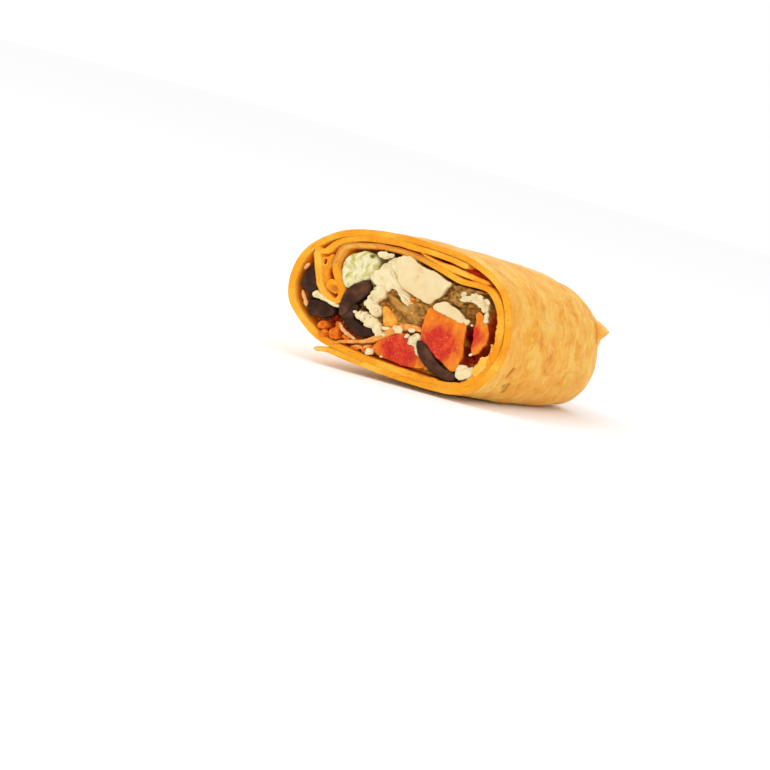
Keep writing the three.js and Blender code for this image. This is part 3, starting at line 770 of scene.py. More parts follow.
# The flaps at the far end: the side that each lies on, in degrees, how far from the middle its
# edge is, and how thick it is there.
FLAPS = [(205, -8.0, 1.6), (-30, -6.0, 1.6), (81, -1.5, 2.3)]
FLAP_ROOM = 3.2                  # the dome under the flaps is this much lower
FLAP_FADE = 20                   # a flap thins out over this length
FLAP_SHIFT = 31                  # moves each flap's mottling
CREASE_DEPTH = 0.6
END_COLUMNS = 300
END_ROWS = 64
COLLAR_ROWS = 26
COLLAR_UNDER = 0.9               # the collar starts this far below the wall's middle
COLLAR_OVER = 0.25               # and then lies this far above its outside
RIM_WOBBLE = (2.0, 14, 41, 2)
GATHERS = (0.7, 1.0, 44, 2)
END_WAVES = [(0.7, (11, 8, 9), 43, 2), (0.16, 2.2, 42, 2)]


def end_flaps(x, z):
    """The flaps, one over the other: their height, 1 in the crease at each edge, and their shift."""
    p = np.stack([x, z, 0 * x], -1)
    height, crease, shift = 0 * x, 0 * x, 0 * x
    for number, (facing, offset, thick) in enumerate(FLAPS):
        a = math.radians(facing)
        past = x * math.cos(a) + z * math.sin(a) - offset + waves(p, (1.5, 13, 45 + number, 2))
        cover = smooth(0, 0.7, past)
        height = height * (1 - 0.65 * cover) + thick * cover * (1 - 0.6 * smooth(0, FLAP_FADE, past))
        crease = np.maximum(crease * (1 - 0.8 * cover), band_of(past, -0.9, 0.15, 0.7))
        shift = shift * (1 - cover) + FLAP_SHIFT * (number + 1) * cover
    return height, crease, shift


def end_row(edge, middle, angle):
    """A ring of the dome's points, its crease and its shift; angle is 0 at the rim."""
    reach = math.cos(angle)
    row = middle + (edge - middle) * reach
    height, crease, shift = end_flaps(row[:, 0] - middle[0], row[:, 2] - middle[2])
    inner = smooth(1.0, 0.93, reach)
    share = np.arange(END_COLUMNS) / END_COLUMNS
    gathers = waves(np.stack([share * 26, 0 * share + reach * 1.2, 0 * share], 1), GATHERS)
    uneven = gathers * smooth(0.45, 0.9, reach) + waves(raised(row[:, ::2]), *END_WAVES)
    dome = (END_Y - RIM_Y - FLAP_ROOM) * math.sin(angle)
    row[:, 1] += dome + inner * (height - CREASE_DEPTH * crease + uneven)
    row[:, 1] = np.minimum(row[:, 1], END_Y - MIDDLE_Y)
    return row, 0.75 * crease * inner, shift


def folded_end():
    """The far end, where the tortilla's side is folded over: round the wall, then a low dome of folds."""
    station = np.arange(END_COLUMNS) * LAPS / END_COLUMNS
    arc = distances(on_ring(station)) + distances([*FREE_EDGE, OUTER[0]])[-1]
    wobble = waves(np.stack([arc, 0 * arc, 0 * arc], 1), RIM_WOBBLE)[:, None]
    y = np.linspace(FOLD_Y - 9, RIM_Y, COLLAR_ROWS)
    emerging = smooth(FOLD_Y - 8, FOLD_Y + 1, y + wobble)
    out = (COLLAR_UNDER + SHEET / 2 + COLLAR_OVER) * emerging - COLLAR_UNDER
    out = out + 0.8 * wall_relief(arc[:, None], y + 0 * wobble) * emerging
    rows = [bend(on_ring(station, -out[:, k]), np.full(END_COLUMNS, y[k])) for k in range(COLLAR_ROWS)]
    middle = bend(np.array([0.0, 0.0]), np.array(RIM_Y))
    dome = [end_row(rows[-1], middle, angle) for angle in np.linspace(0, math.pi / 2, END_ROWS)[1:-1]]
    flat = np.vstack(rows + [row for row, _, _ in dome])
    tip = len(flat)
    start = COLLAR_ROWS * END_COLUMNS
    crease, shift = (np.concatenate([each[k] for each in dome]) for k in (1, 2))
    flow = np.stack([np.tile(arc, tip // END_COLUMNS), flat[:, 1] + MIDDLE_Y, np.zeros(tip)], 1)
    flow[start:] = np.stack([flat[start:, 0] * 0.9 + shift, flat[start:, 2] * 1.4 + 140, shift], 1)
    last = tip - END_COLUMNS
    faces = grid_faces(tip // END_COLUMNS, END_COLUMNS)
    faces += [[last + i, last + (i + 1) % END_COLUMNS, tip] for i in range(END_COLUMNS)]
    faces.append(list(range(END_COLUMNS))[::-1])
    crease = np.concatenate([np.zeros(start), crease, [0.0]])
    # Painted shade in the creases between the flaps: darker red and brown.
    build("folded_end", np.vstack([flat, flat[last:].mean(0)]), faces, "tortilla", "tortilla",
          flow=np.vstack([flow, flow[-1]]), deep=0.15 * crease, gash=crease)


# ------------------------------------------------------------------ shapes with an outline

FINE = 0.32                      # the mesh's step on the cut face
GROWN = 0.12                     # each piece swells past its outline by this much
SIDE_DEPTHS = [0.35, 0.8, 1.4, 2.2, 3.4, 5, 7.5, 11, 16, 22, 30, 40]
NARROWING = 0.3                  # the share by which a piece is narrower at its inner end
SIDE_RELIEF_SIZE = (2.5, 2.5, 3)
SIDE_RELIEF_DEPTH = 0.25
LUMP_SEED = 10                  # added to a piece's seed for its lumps,
STREAK_SEED = 20                 # and for its streaks


def inside_outline(points, outline):
    """Whether each point is inside the outline, and its distance from it."""
    a, b = outline, np.roll(outline, -1, 0)
    ab = b - a
    rel = points[:, None, :] - a[None]
    t = np.clip(np.sum(rel * ab, 2) / np.maximum(np.sum(ab * ab, 1), 1e-9), 0, 1)
    distance = np.linalg.norm(rel - t[..., None] * ab, axis=2).min(1)
    over = (a[:, 1] > points[:, 1:2]) != (b[:, 1] > points[:, 1:2])
    cross = a[:, 0] + (points[:, 1:2] - a[:, 1]) * ab[:, 0] / np.where(ab[:, 1] == 0, 1e-9, ab[:, 1])
    return (np.sum(over & (points[:, 0:1] < cross), 1) % 2).astype(bool), distance


def fill(outline, step):
    """Points and triangles that fill an outline, the outline's own point numbers in order, and
    each point's distance from it."""
    low, high = outline.min(0), outline.max(0)
    x, y = np.meshgrid(np.arange(low[0], high[0], step), np.arange(low[1], high[1], step * 0.87))
    x = x + (np.arange(x.shape[0])[:, None] % 2) * step / 2
    spots = np.stack([x.ravel(), y.ravel()], 1)
    inside, distance = inside_outline(spots, outline)
    spots = spots[inside & (distance > 0.55 * step)]
    count = len(outline)
    every = [Vector(p) for p in np.vstack([outline, spots])]
    rim = [(i, (i + 1) % count) for i in range(count)]
    places, _, faces, origin, _, _ = delaunay_2d_cdt(every, rim, [], 1, 1e-6)
    places = np.array([list(p) for p in places])
    back = {o: i for i, group in enumerate(origin) for o in group}
    return places, faces, [back[i] for i in range(count)], inside_outline(places, outline)[1]


def ragged(outline, amount, size, seed):
    """The outline with its edge torn by an amount."""
    return outline - left_of(outline, closed=True) * waves(raised(outline), (amount, size, seed, 3))[:, None]


def near(spot, radius, most=1.0, core=0.4):
    """A field: the most in a core of a circle on the face, falling to 0 at its radius."""
    return lambda flat: most * (1 - smooth(core * radius, radius,
                                           np.linalg.norm(flat - np.array(spot), axis=1)))


def away_from(spot, low, high):
    """A field: 0 round a place on the face and 1 beyond a distance from it."""
    return lambda flat: smooth(low, high, np.linalg.norm(flat - np.array(spot), axis=1))


def facets(flat):
    """A field: a few flat steps, as of meat that was torn across."""
    return 0.12 * np.floor(noise(raised(flat), (9, 7, 5), 141) * 3)


def at_face(field, flat):
    """A field's values at places on the face. It may be one number for all."""
    return field(flat) if callable(field) else np.full(len(flat), float(field))


def face_depth(flat, rim, seed, edge=0.35, dome=0.0, slope=(0, 0), lumps=(), streaks=None, pits=None,
               relief=0.0):
    """How far behind its plane a piece's face is: rounded at the rim, over a width of edge, domed,
    sloping, and with relief of several kinds."""
    depth = edge * (1 - np.sqrt(np.clip(1 - (1 - np.clip(rim / edge, 0, 1)) ** 2, 0, 1)))
    depth = depth - dome * np.clip(rim / max(rim.max(), 0.1), 0, 1) ** 0.6
    depth = depth + (flat - flat.mean(0)) @ np.array(slope)
    for number, (size, amount) in enumerate(lumps):
        depth = depth + waves(raised(flat), (amount, size, seed + LUMP_SEED + number, 2))
    if streaks:
        direction, long, wide, amount = streaks
        depth = depth + waves(turned(flat, direction), (amount, (long, wide, 5), seed + STREAK_SEED, 2))
    if pits:
        size, amount = pits
        depth = depth + amount * pitted(raised(flat), size, seed, 2.2)
    return depth + at_face(relief, flat)


def chunk(name, outline, length, inset, look, seed, torn=0.2, torn_size=2.0, margin=0.0, dark=0.0,
          lean=0.0, pale=0.0, node=None, **face):
    """A piece of food: its outline on the cut face, run back into the roll. inset is how far behind
    the cut it starts. lean lets its sides start at right angles to the cut, before they follow
    the roll."""
    line = even(outline, FINE, True)
    line = line if area(line) > 0 else line[::-1]
    line = ragged(line, torn, torn_size, seed) - GROWN * left_of(line, closed=True)
    flat, faces, order, rim = fill(line, FINE)
    depth = face_depth(flat, rim, seed, **face)
    grain = turned(flat, face["streaks"][0]) if "streaks" in face else np.zeros((len(flat), 3))
    depths = [d for d in SIDE_DEPTHS if d < length - 1] + [length]
    xz = section(flat)
    front = cut_y(xz) + inset + depth
    edge, middle = xz[order], xz[order].mean(0)
    points, skin = [bend(xz, front)], [grain]
    for d in depths:
        outer = middle + (edge - middle) * (1 - NARROWING * (d / length) ** 3)
        relief = waves(raised(flat[order], d), (SIDE_RELIEF_DEPTH, SIDE_RELIEF_SIZE, seed + 5, 2))
        outer = outer - left_of(outer, closed=True) * (relief * smooth(0, 2, d))[:, None]
        outer = outer - lean * face_normal[::2] * 2 * (1 - math.exp(-d / 2))
        points.append(bend(outer, front[order] + d))
        skin.append(raised(grain[order][:, :2], d))
    points.append(points[-1].mean(0)[None])
    skin.append(skin[-1].mean(0)[None])
    every = np.vstack(points)
    behind = np.append(np.repeat(np.clip(np.array(depths) / 3.5, 0, 1), len(order)), 1.0)
    # For food this paints shade at the face's edge and on the sides; for dough it only sets the cut edge
    # apart from the sides.
    rim_share = np.concatenate([0.6 * (1 - smooth(0, 0.45, rim)), 0 * behind + 0.8])
    # The sides get painted shade that grows further back; on the face, dark darkens a piece where it is
    # given.
    dark = np.concatenate([at_face(dark, flat), 0.85 * behind])
    if look == "tortilla":
        front = 1 - np.clip(rim_share * 1.6, 0, 1)
        fields = {"cut": front * (1 - dark), "inside": 1 - front, "deep": dark,
                  "pale": pale * np.concatenate([1 - smooth(0.1, 1.1, rim), 0 * behind]),
                  "flow": every * (1.2, 1, 0.12)}
    else:
        fields = {"rim": rim_share, "dark": dark, "grain": np.vstack(skin),
                  "margin": np.concatenate([at_face(margin, flat), 0 * behind + 1])}
    build(name, every, run_back(faces, order, len(flat), len(depths)), look, node or name, **fields)


END_CORNER = [[14, 23], [27.2, 26.4], [28.4, 30.4], [31, 34.2], [27.6, 36], [20, 38.4]]
END_CORNER_Y = 89.0
END_CORNER_STEP = 0.5
END_CORNER_HALF = 0.95           # half its thickness
END_CORNER_CURL = [(0.5, 6, 52, 2), (0.12, 1.5, 53)]


def end_corner():
    """A corner of the folded side that stands out of the far end: a thin leaf, a little curled."""
    corners = np.array(END_CORNER, float)
    along = np.roll(corners, -1, 0) - corners
    line = np.vstack([corners[i] + along[i] * t for i in range(len(corners)) for t in (0.08, 0.5, 0.92)])
    line = ragged(even(line, END_CORNER_STEP, True, 300), 0.8, 2.6, 51)
    flat, faces, order, rim = fill(line if area(line) > 0 else line[::-1], END_CORNER_STEP)
    half = END_CORNER_HALF * np.sqrt(1 - (1 - np.clip(rim / 0.9, 0, 1)) ** 2) + 0.02
    y = END_CORNER_Y + SHEET / 2 + waves(raised(flat), *END_CORNER_CURL) - MIDDLE_Y
    points = np.vstack([np.stack([flat[:, 0] - MIDDLE_X, y + sign * half, flat[:, 1]], 1)
                        for sign in (-1, 1)])
    count = len(flat)
    rim = [[a + count, b + count, b, a] for a, b in zip(order, order[1:] + order[:1])]
    faces = faces + [[i + count for i in f[::-1]] for f in faces] + rim
    build("end_corner", points, faces, "tortilla", "tortilla",
          flow=np.stack([points[:, 0] + 60, points[:, 1] + points[:, 2], points[:, 2]], 1),
          pale=np.full(len(points), 0.6), cut=np.full(len(points), 0.5))


CRUMPLE_AT = [-26.3, 18.5]
CRUMPLE_SIZE = np.array([2.4, 3.4])
CRUMPLE_WALL = 0.65
CRUMPLE_COLUMNS = 44
CRUMPLE_DEPTHS = [0.3, 1, 2, 4, 8, 14, 22, 30]
CRUMPLE_ACROSS = [-1, -0.9, -0.6, -0.2, 0.2, 0.6, 0.9, 1]


def crumple():
    """A small curl of the side that was folded in first: a ring of dough, run back into the roll."""
    angle = np.arange(CRUMPLE_COLUMNS) / CRUMPLE_COLUMNS * 2 * math.pi
    centre = section(CRUMPLE_AT)
    around = np.stack([np.cos(angle), np.sin(angle)], 1)
    wobble = 1 + waves(raised(around * 1.3) + centre[0], (0.3, 1.0, 55))[:, None]
    middle = centre + around * (CRUMPLE_SIZE / 2 - CRUMPLE_WALL / 2) * wobble
    outside = [(1, d) for d in CRUMPLE_DEPTHS[::-1]]
    across = [(w, 0.25 * abs(w) ** 3) for w in CRUMPLE_ACROSS[::-1]]
    inside = [(-1, d) for d in CRUMPLE_DEPTHS]
    rows = []
    for sign, behind in outside + across + inside:
        xz = middle + around * (sign * CRUMPLE_WALL / 2)
        rows.append(bend(xz, cut_y(xz) + 0.25 + waves(raised(xz), (0.4, 2, 56)) + behind))
    last = (len(rows) - 1) * CRUMPLE_COLUMNS
    faces = grid_faces(len(rows), CRUMPLE_COLUMNS)
    faces += [[last + i, last + (i + 1) % CRUMPLE_COLUMNS, (i + 1) % CRUMPLE_COLUMNS, i]
              for i in range(CRUMPLE_COLUMNS)]
    flat = np.vstack(rows)
    cut = np.repeat([0.0] * 7 + [0.6] + [1.0] * 8 + [0.6] + [0.0] * 7, CRUMPLE_COLUMNS)
    # Painted shade: the curl's sides that run back into the roll are darker red.
    build("crumple_1", flat, faces, "tortilla", "tortilla", cut=cut, inside=1 - cut,
          deep=np.repeat([0.6] * 7 + [0.0] * 10 + [0.3] + [0.8] * 6, CRUMPLE_COLUMNS),
          flow=np.stack([np.tile(angle * 2, len(rows)), flat[:, 1] + MIDDLE_Y, flat[:, 2]], 1))


# ------------------------------------------------------------------ the pieces that show at the cut

# Each has its name, outline, length, inset, look and seed, and what else chunk() is told.
FILLINGS = [
    ("chicken_slab", [[2.75, 20.2], [0.7, 19.4], [-0.2, 16.8], [0.4, 12.2], [1.9, 9.2], [5.3, 6.7],
        [10.4, 3.5], [11.4, 3.3], [13, 4.8], [14.7, 5.6], [16.1, 6.7], [16.9, 8.2], [18.9, 10],
        [19.1, 10.4], [17.4, 11.5], [14, 14.2], [9.9, 16], [7.4, 17.9], [5.3, 19.9]],
     46, -0.6, "chicken", 101, dict(torn=0.3, torn_size=1.0, edge=0.16, slope=(0.03, -0.06), lean=1.0,
     lumps=[(7, 0.25), (1.4, 0.08)], relief=facets)),
    ("chicken_strip", [[-9.8, 12.9], [-8.6, 14.6], [-7.2, 15.4], [-5.6, 17.1], [-3.2, 18.8], [-1, 19.9],
        [0.4, 19], [-0.3, 14], [0.8, 10.4], [2, 8], [3.8, 5.4], [4.2, 3.6], [3, 2.6], [1.6, 3.8],
        [0.4, 6.4], [-1.2, 8.2], [-2.6, 8.9], [-4, 7.8], [-6.1, 8.8], [-8, 10.4]],
     40, 0.1, "chicken_pale", 102, dict(torn=0.4, torn_size=1.2, edge=0.3, slope=(0.08, 0),
     lumps=[(3.4, 0.9), (1.3, 0.16)], streaks=(-62, 7, 1.4, 0.5))),
    ("chicken_chip", [[13, 2], [13.9, 3.1], [15.4, 3.4], [17.7, 3.8], [19.3, 2.5], [21.4, 1.3],
        [23.2, -0.5], [24.3, -2.1], [25.5, -2.7], [25, -3.8], [22.5, -3.6], [19.3, -1.8], [16.4, -0.4],
        [14.3, 0.7]],
     24, -0.7, "chicken", 103, dict(torn=0.25, torn_size=0.9, edge=0.16, slope=(0, -0.12), lean=1.0,
     lumps=[(4, 0.3), (1.4, 0.1)])),
    ("chicken_shred_right", [[21.9, 4.6], [23, 5.6], [23.7, 7.1], [24.5, 6.1], [26.4, 6.7], [28.6, 6.8],
        [30.7, 5.1], [32.1, 3.2], [32.2, 0.4], [31.5, -3.4], [30.8, -3], [30.9, 0.4], [29.4, 2.1],
        [27.1, 3.5], [24.6, 4.5], [23.2, 4.1]],
     22, 0, "chicken_pale", 104, dict(torn=0.7, torn_size=0.9, edge=0.25, lean=1.0,
     lumps=[(1.6, 0.7), (0.8, 0.4)], streaks=(-20, 4, 0.8, 0.4))),
    ("chicken_shred_low", [[20.6, -18.9], [22.9, -18.6], [24.6, -19.6], [26.2, -19.2], [26.9, -20.1],
        [25.7, -22.3], [23.7, -23.3], [21.1, -23.5], [20.1, -22.2]],
     26, 0.4, "chicken_pale", 105, dict(torn=0.5, torn_size=1.1, edge=0.25, lumps=[(1.6, 0.5)],
     streaks=(20, 4, 0.8, 0.4))),
    ("chicken_brown", [[-4, 7], [-1, 5.2], [2, 3], [6, 4], [10, 2.2], [9.4, 0.6], [8.2, 0], [7.2, -2.6],
        [3, -2.2], [-0.4, 0.2], [-2.4, 2.6]],
     52, 1.4, "browned", 106, dict(torn=0.4, edge=0.5, slope=(0, -0.15), lumps=[(3, 0.9), (1.2, 0.35)],
     streaks=(-40, 7, 1.3, 0.9))),
    ("chicken_dark", [[13.4, 4.6], [17.6, 7.4], [19.6, 9.9], [24, 9], [27.6, 8.3], [31.6, 7.3], [26, 6.6],
        [23, 4.4], [21.4, 2.2], [18, 4.4]],
     40, 1.2, "browned_dark", 107, dict(torn=0.4, edge=0.5, lumps=[(2, 1.3), (1, 0.5)], pits=(1.8, 1.2))),
    # The lettuce's dark field paints shade at a spot on its right edge.
    ("lettuce_rib", [[-19.8, 17.3], [-18.6, 19.5], [-15.7, 21.4], [-12.9, 22], [-9.3, 21.1], [-7.7, 19.8],
        [-7.1, 17.9], [-7.7, 16], [-9.3, 14.1], [-10.3, 12.5], [-13.4, 11.4], [-15.7, 10.2], [-18.2, 9],
        [-19.5, 10.3], [-20.1, 14.1]],
     38, 0, "lettuce", 108, dict(torn=0.5, torn_size=1.6, edge=0.7, dome=0.6,
     lumps=[(3.4, 0.9), (1.5, 0.5), (0.8, 0.25)], streaks=(60, 5, 1.4, 0.5), dark=near([-9, 20.2], 1.1))),
    ("olive_ring", [[-21, 0.4], [-20.5, 3.6], [-19.6, 6.1], [-18.6, 8], [-17.1, 9.3], [-15.7, 10.2],
        [-13.9, 10.8], [-12.1, 11.1], [-10.4, 11], [-9.6, 10], [-9.9, 8.6], [-10.7, 7.1], [-12.1, 5.7],
        [-13.6, 4.6], [-15, 3.6], [-16.4, 2.5], [-17.5, 1.1], [-18.9, -0.4], [-20.4, -0.9]],
     6, -0.5, "olive", 109, dict(torn=0.12, edge=0.4, slope=(-0.03, 0.05), lumps=[(5, 0.5), (1.2, 0.1)])),
    ("olive_tear", [[-20.5, -0.7], [-19.1, 0], [-17.9, 1.4], [-17, 3], [-15.7, 3.4], [-14.6, 2.5],
        [-14.8, 1.1], [-15.5, -0.4], [-16.2, -1.8], [-17.9, -1.9], [-19.6, -1.6]],
     6, -0.1, "olive", 125, dict(torn=0.25, torn_size=0.9, edge=0.3, lumps=[(1.6, 0.6), (0.7, 0.25)],
     dark=0.15, node="olive_ring")),
    ("olive_ring_low", [[-20.4, -1.2], [-18.6, -1.4], [-16.4, -1.6], [-15.4, -2.3], [-13.9, -3.4],
        [-12.9, -4.3], [-11.4, -4.8], [-10, -5.5], [-9.2, -6.4], [-8.7, -7.9], [-10, -8.5], [-12.1, -8.6],
        [-14.3, -8.1], [-16.4, -6.9], [-18.2, -5.4], [-19.6, -3.4]],
     6, 0.1, "olive", 126, dict(torn=0.06, edge=0.7, dome=0.3, slope=(0.02, 0.08),
     lumps=[(5, 0.4), (1.2, 0.06)], dark=0.5, node="olive_ring")),
    ("olive_upper_left", [[-30.4, 17], [-29.6, 16.1], [-29.1, 13.9], [-28.9, 11.4], [-29.3, 9.3],
        [-30.2, 7.5], [-30.7, 5.7], [-31.8, 5], [-32.1, 6.4], [-32.9, 8.2], [-34.1, 8.9], [-34.5, 10.7],
        [-33.9, 13.2], [-32.9, 15], [-31.8, 16.2]],
     13, -0.3, "olive", 110, dict(dark=0.45, torn=0.08, edge=0.6, slope=(0.12, 0),
     lumps=[(4, 0.4), (1.2, 0.08)])),
    ("olive_lower_left", [[-31.8, 4.6], [-30.4, 5], [-28.6, 4.5], [-26.8, 3.9], [-25, 3], [-23.6, 1.8],
        [-22.9, 0.7], [-23.2, -0.5], [-24.6, -1.2], [-27.1, -1.6], [-29.6, -1.2], [-31.4, -0.4],
        [-32.1, 1.1], [-32.1, 3.2]],
     12, -0.4, "olive", 111, dict(dark=0.35, torn=0.08, edge=0.6, slope=(0, 0.14),
     lumps=[(4, 0.4), (1.2, 0.08)])),
    ("olive_low", [[7.9, -10], [7.4, -12.1], [7.9, -14.6], [9.1, -17.5], [11.1, -20], [13.6, -22.1],
        [16.1, -23.7], [18.2, -24.2], [19.7, -23.6], [20, -22], [18.9, -20.9], [16.8, -20.1], [15, -18.6],
        [13.2, -16.3], [11.6, -13.4], [9.8, -10.9]],
     14, -0.9, "olive", 112, dict(torn=0.06, edge=0.35, slope=(0.06, -0.06), lumps=[(5, 0.3), (1.2, 0.06)]
     )),
    ("tomato_middle", [[10.4, 1.6], [9.3, -1], [8.2, -5], [8.1, -8.1], [9.2, -10.6], [13, -15], [16, -18],
        [19.1, -20.6], [20.4, -20.2], [21.3, -17.8], [22.6, -14.8], [22.9, -11.2], [23.6, -7.1],
        [24, -3.4], [19, -0.9], [14, 1.2]],
     30, 0.2, "tomato", 113, dict(lean=0.9, torn=0.25, torn_size=1.6, edge=0.3, slope=(0.02, 0.05),
     dome=0.3, lumps=[(5, 0.6), (1.5, 0.2)], margin=away_from([14.4, -11], 3.5, 11))),
    ("tomato_right", [[28.8, 0.6], [30.2, -1], [31.2, -3], [31.8, -6.1], [31.4, -9.6], [29.8, -12.4],
        [28, -14.2], [26.4, -14.8], [26, -13.6], [26.5, -10.1], [27.2, -6.1], [27.7, -3], [28, -0.5]],
     26, 0.2, "tomato", 114, dict(torn=0.35, torn_size=1.3, edge=0.3, slope=(0.1, 0), lean=1.0,
     lumps=[(3, 0.7), (1.2, 0.35)], margin=away_from([25.4, -8], 3.2, 6.4))),
    ("tomato_low", [[-9.6, -12.1], [-8.2, -10.9], [-6.4, -9.8], [-4.3, -8.9], [-2.1, -7.9], [0.4, -7],
        [2.5, -7.9], [4.3, -10], [5.4, -11.8], [6.4, -13.9], [8.2, -16.8], [9.3, -18.6], [7.9, -19.4],
        [4.6, -19.3], [0.7, -18.6], [-2.9, -17.1], [-5.7, -15.9], [-8.2, -14.3], [-9.5, -13.4]],
     34, 0.2, "tomato", 115, dict(torn=0.4, torn_size=1.6, edge=0.35, slope=(0, -0.1), dome=0.4,
     lumps=[(3, 0.7), (1.2, 0.35)], margin=away_from([0.4, -13.6], 4, 10))),
    ("cheese_cream", [[3.2, -10.4], [4.2, -8.4], [6.2, -7.4], [7.6, -8.4], [7.6, -10.6], [7.2, -12.4],
        [7.2, -15], [5.4, -14.6], [4, -12.6]],
     18, 0, "cheese", 116, dict(torn=0.5, torn_size=1.3, edge=0.5, dome=0.5,
     lumps=[(1.8, 0.7), (0.8, 0.3)])),
    ("cheese_crumble", [[-14.6, 0.5], [-13.6, 0.7], [-12.9, 0.2], [-11.8, 0.2], [-10.4, -0.4],
        [-8.9, -1.6], [-7.9, -2.5], [-6.8, -3.6], [-6.2, -5], [-5.7, -6.4], [-5.4, -7.5], [-6.4, -8],
        [-7.9, -8.4], [-8.6, -7.1], [-8.9, -5.7], [-10, -5], [-11.4, -4.3], [-12.1, -3.4], [-13.6, -2.3],
        [-14.3, -1.1], [-14.8, -0.4]],
     12, -0.7, "cheese", 117, dict(torn=0.8, torn_size=1.0, edge=0.4, dome=0.5,
     lumps=[(1.6, 0.9), (0.7, 0.45)])),
    ("cheese_thread", [[-7.9, 9.6], [-6.1, 9.8], [-5, 8.9], [-4.8, 7.1], [-5.4, 5.7], [-6.8, 5],
        [-7.9, 4.3], [-7.9, 3.2], [-6.8, 2.1], [-6.2, 0.7], [-6.8, -0.5], [-7.9, -1.4], [-8.9, -1.4],
        [-9.6, 0], [-10, 1.1], [-11.1, 1.6], [-12.1, 2.5], [-12.5, 3.9], [-11.4, 5], [-10.7, 6.1],
        [-9.6, 7.9], [-8.6, 8.9]],
     10, -0.2, "cheese", 118, dict(torn=0.6, torn_size=1.1, edge=0.4, dome=0.4,
     lumps=[(1.6, 0.9), (0.7, 0.4)])),
    ("cheese_left", [[-30.4, 7.5], [-29.3, 8], [-27.9, 7.3], [-26.1, 6.1], [-24.3, 5], [-22.5, 3.6],
        [-21.1, 2.3], [-22.9, 2.3], [-25, 3.4], [-27.1, 4.5], [-28.9, 5.4], [-30.4, 5.7]],
     14, 0.1, "cheese", 119, dict(torn=0.35, torn_size=1.2, edge=0.4, dome=0.3, lumps=[(1.6, 0.5)])),
    ("cheddar_piece", [[-5.5, 2.6], [-3.9, 1.6], [-2.3, -0.6], [-1, -2.8], [-1.3, -4.4], [-4.2, -5],
        [-5.5, -4.4], [-5.8, -1.2]],
     20, 0.3, "cheddar", 120, dict(torn=0.25, edge=0.4, lumps=[(2.4, 0.6), (1, 0.2)])),
    ("carrot_shred", [[-23.4, -11], [-22.5, -10.4], [-21.4, -9.9], [-18.9, -9.6], [-15.4, -9.6],
        [-11.8, -9.4], [-9.6, -8.7], [-7.9, -8], [-5.7, -7], [-3.6, -5.9], [-1.1, -4.8], [1.2, -4.1],
        [3.6, -4], [5.7, -4.5], [7.7, -5.5], [8, -6.8], [6.1, -6.2], [3.6, -6.1], [1.4, -6.4],
        [-0.7, -7.1], [-2.9, -8], [-4.6, -8.9], [-6.4, -9.6], [-8.6, -10.3], [-11.4, -10.7],
        [-15.4, -10.7], [-18.9, -10.6], [-21.8, -10.7]],
     9, -0.5, "carrot_pale", 121, dict(torn=0.12, edge=0.45, dome=0.3, lumps=[(4, 0.4)])),
    ("carrot_chunk", [[-25.4, -7.9], [-24.6, -5.9], [-23.2, -4.5], [-21.8, -2.9], [-21.1, -3.4],
        [-21.4, -5.4], [-21.8, -7.1], [-21.2, -8.9], [-22.9, -9.3], [-24.3, -8.9]],
     24, 0.6, "carrot", 122, dict(torn=0.45, torn_size=1.1, edge=0.35, lumps=[(1.6, 0.9), (0.8, 0.3)])),
    ("carrot_bit_left", [[-28.9, -3.8], [-28.2, -2.8], [-26.8, -2.5], [-25.7, -3.2], [-25.4, -4.5],
        [-26.4, -5.5], [-27.9, -5.6], [-28.8, -5]],
     16, 0, "carrot", 123, dict(torn=0.3, torn_size=1.1, edge=0.6, dome=0.8, lumps=[(1.4, 0.5)])),
    ("carrot_bit_low", [[-19.6, -7.5], [-18.6, -7.7], [-17.1, -8.8], [-16.1, -9.6], [-17.9, -9.8],
        [-19.5, -9.5]],
     18, 0.6, "carrot", 124, dict(torn=0.35, torn_size=1.1, edge=0.35, lumps=[(1.4, 0.7)])),
]

HOLE, CURL = [-26.3, 18.4], [-23.3, 8.9]    # in the pocket at the left
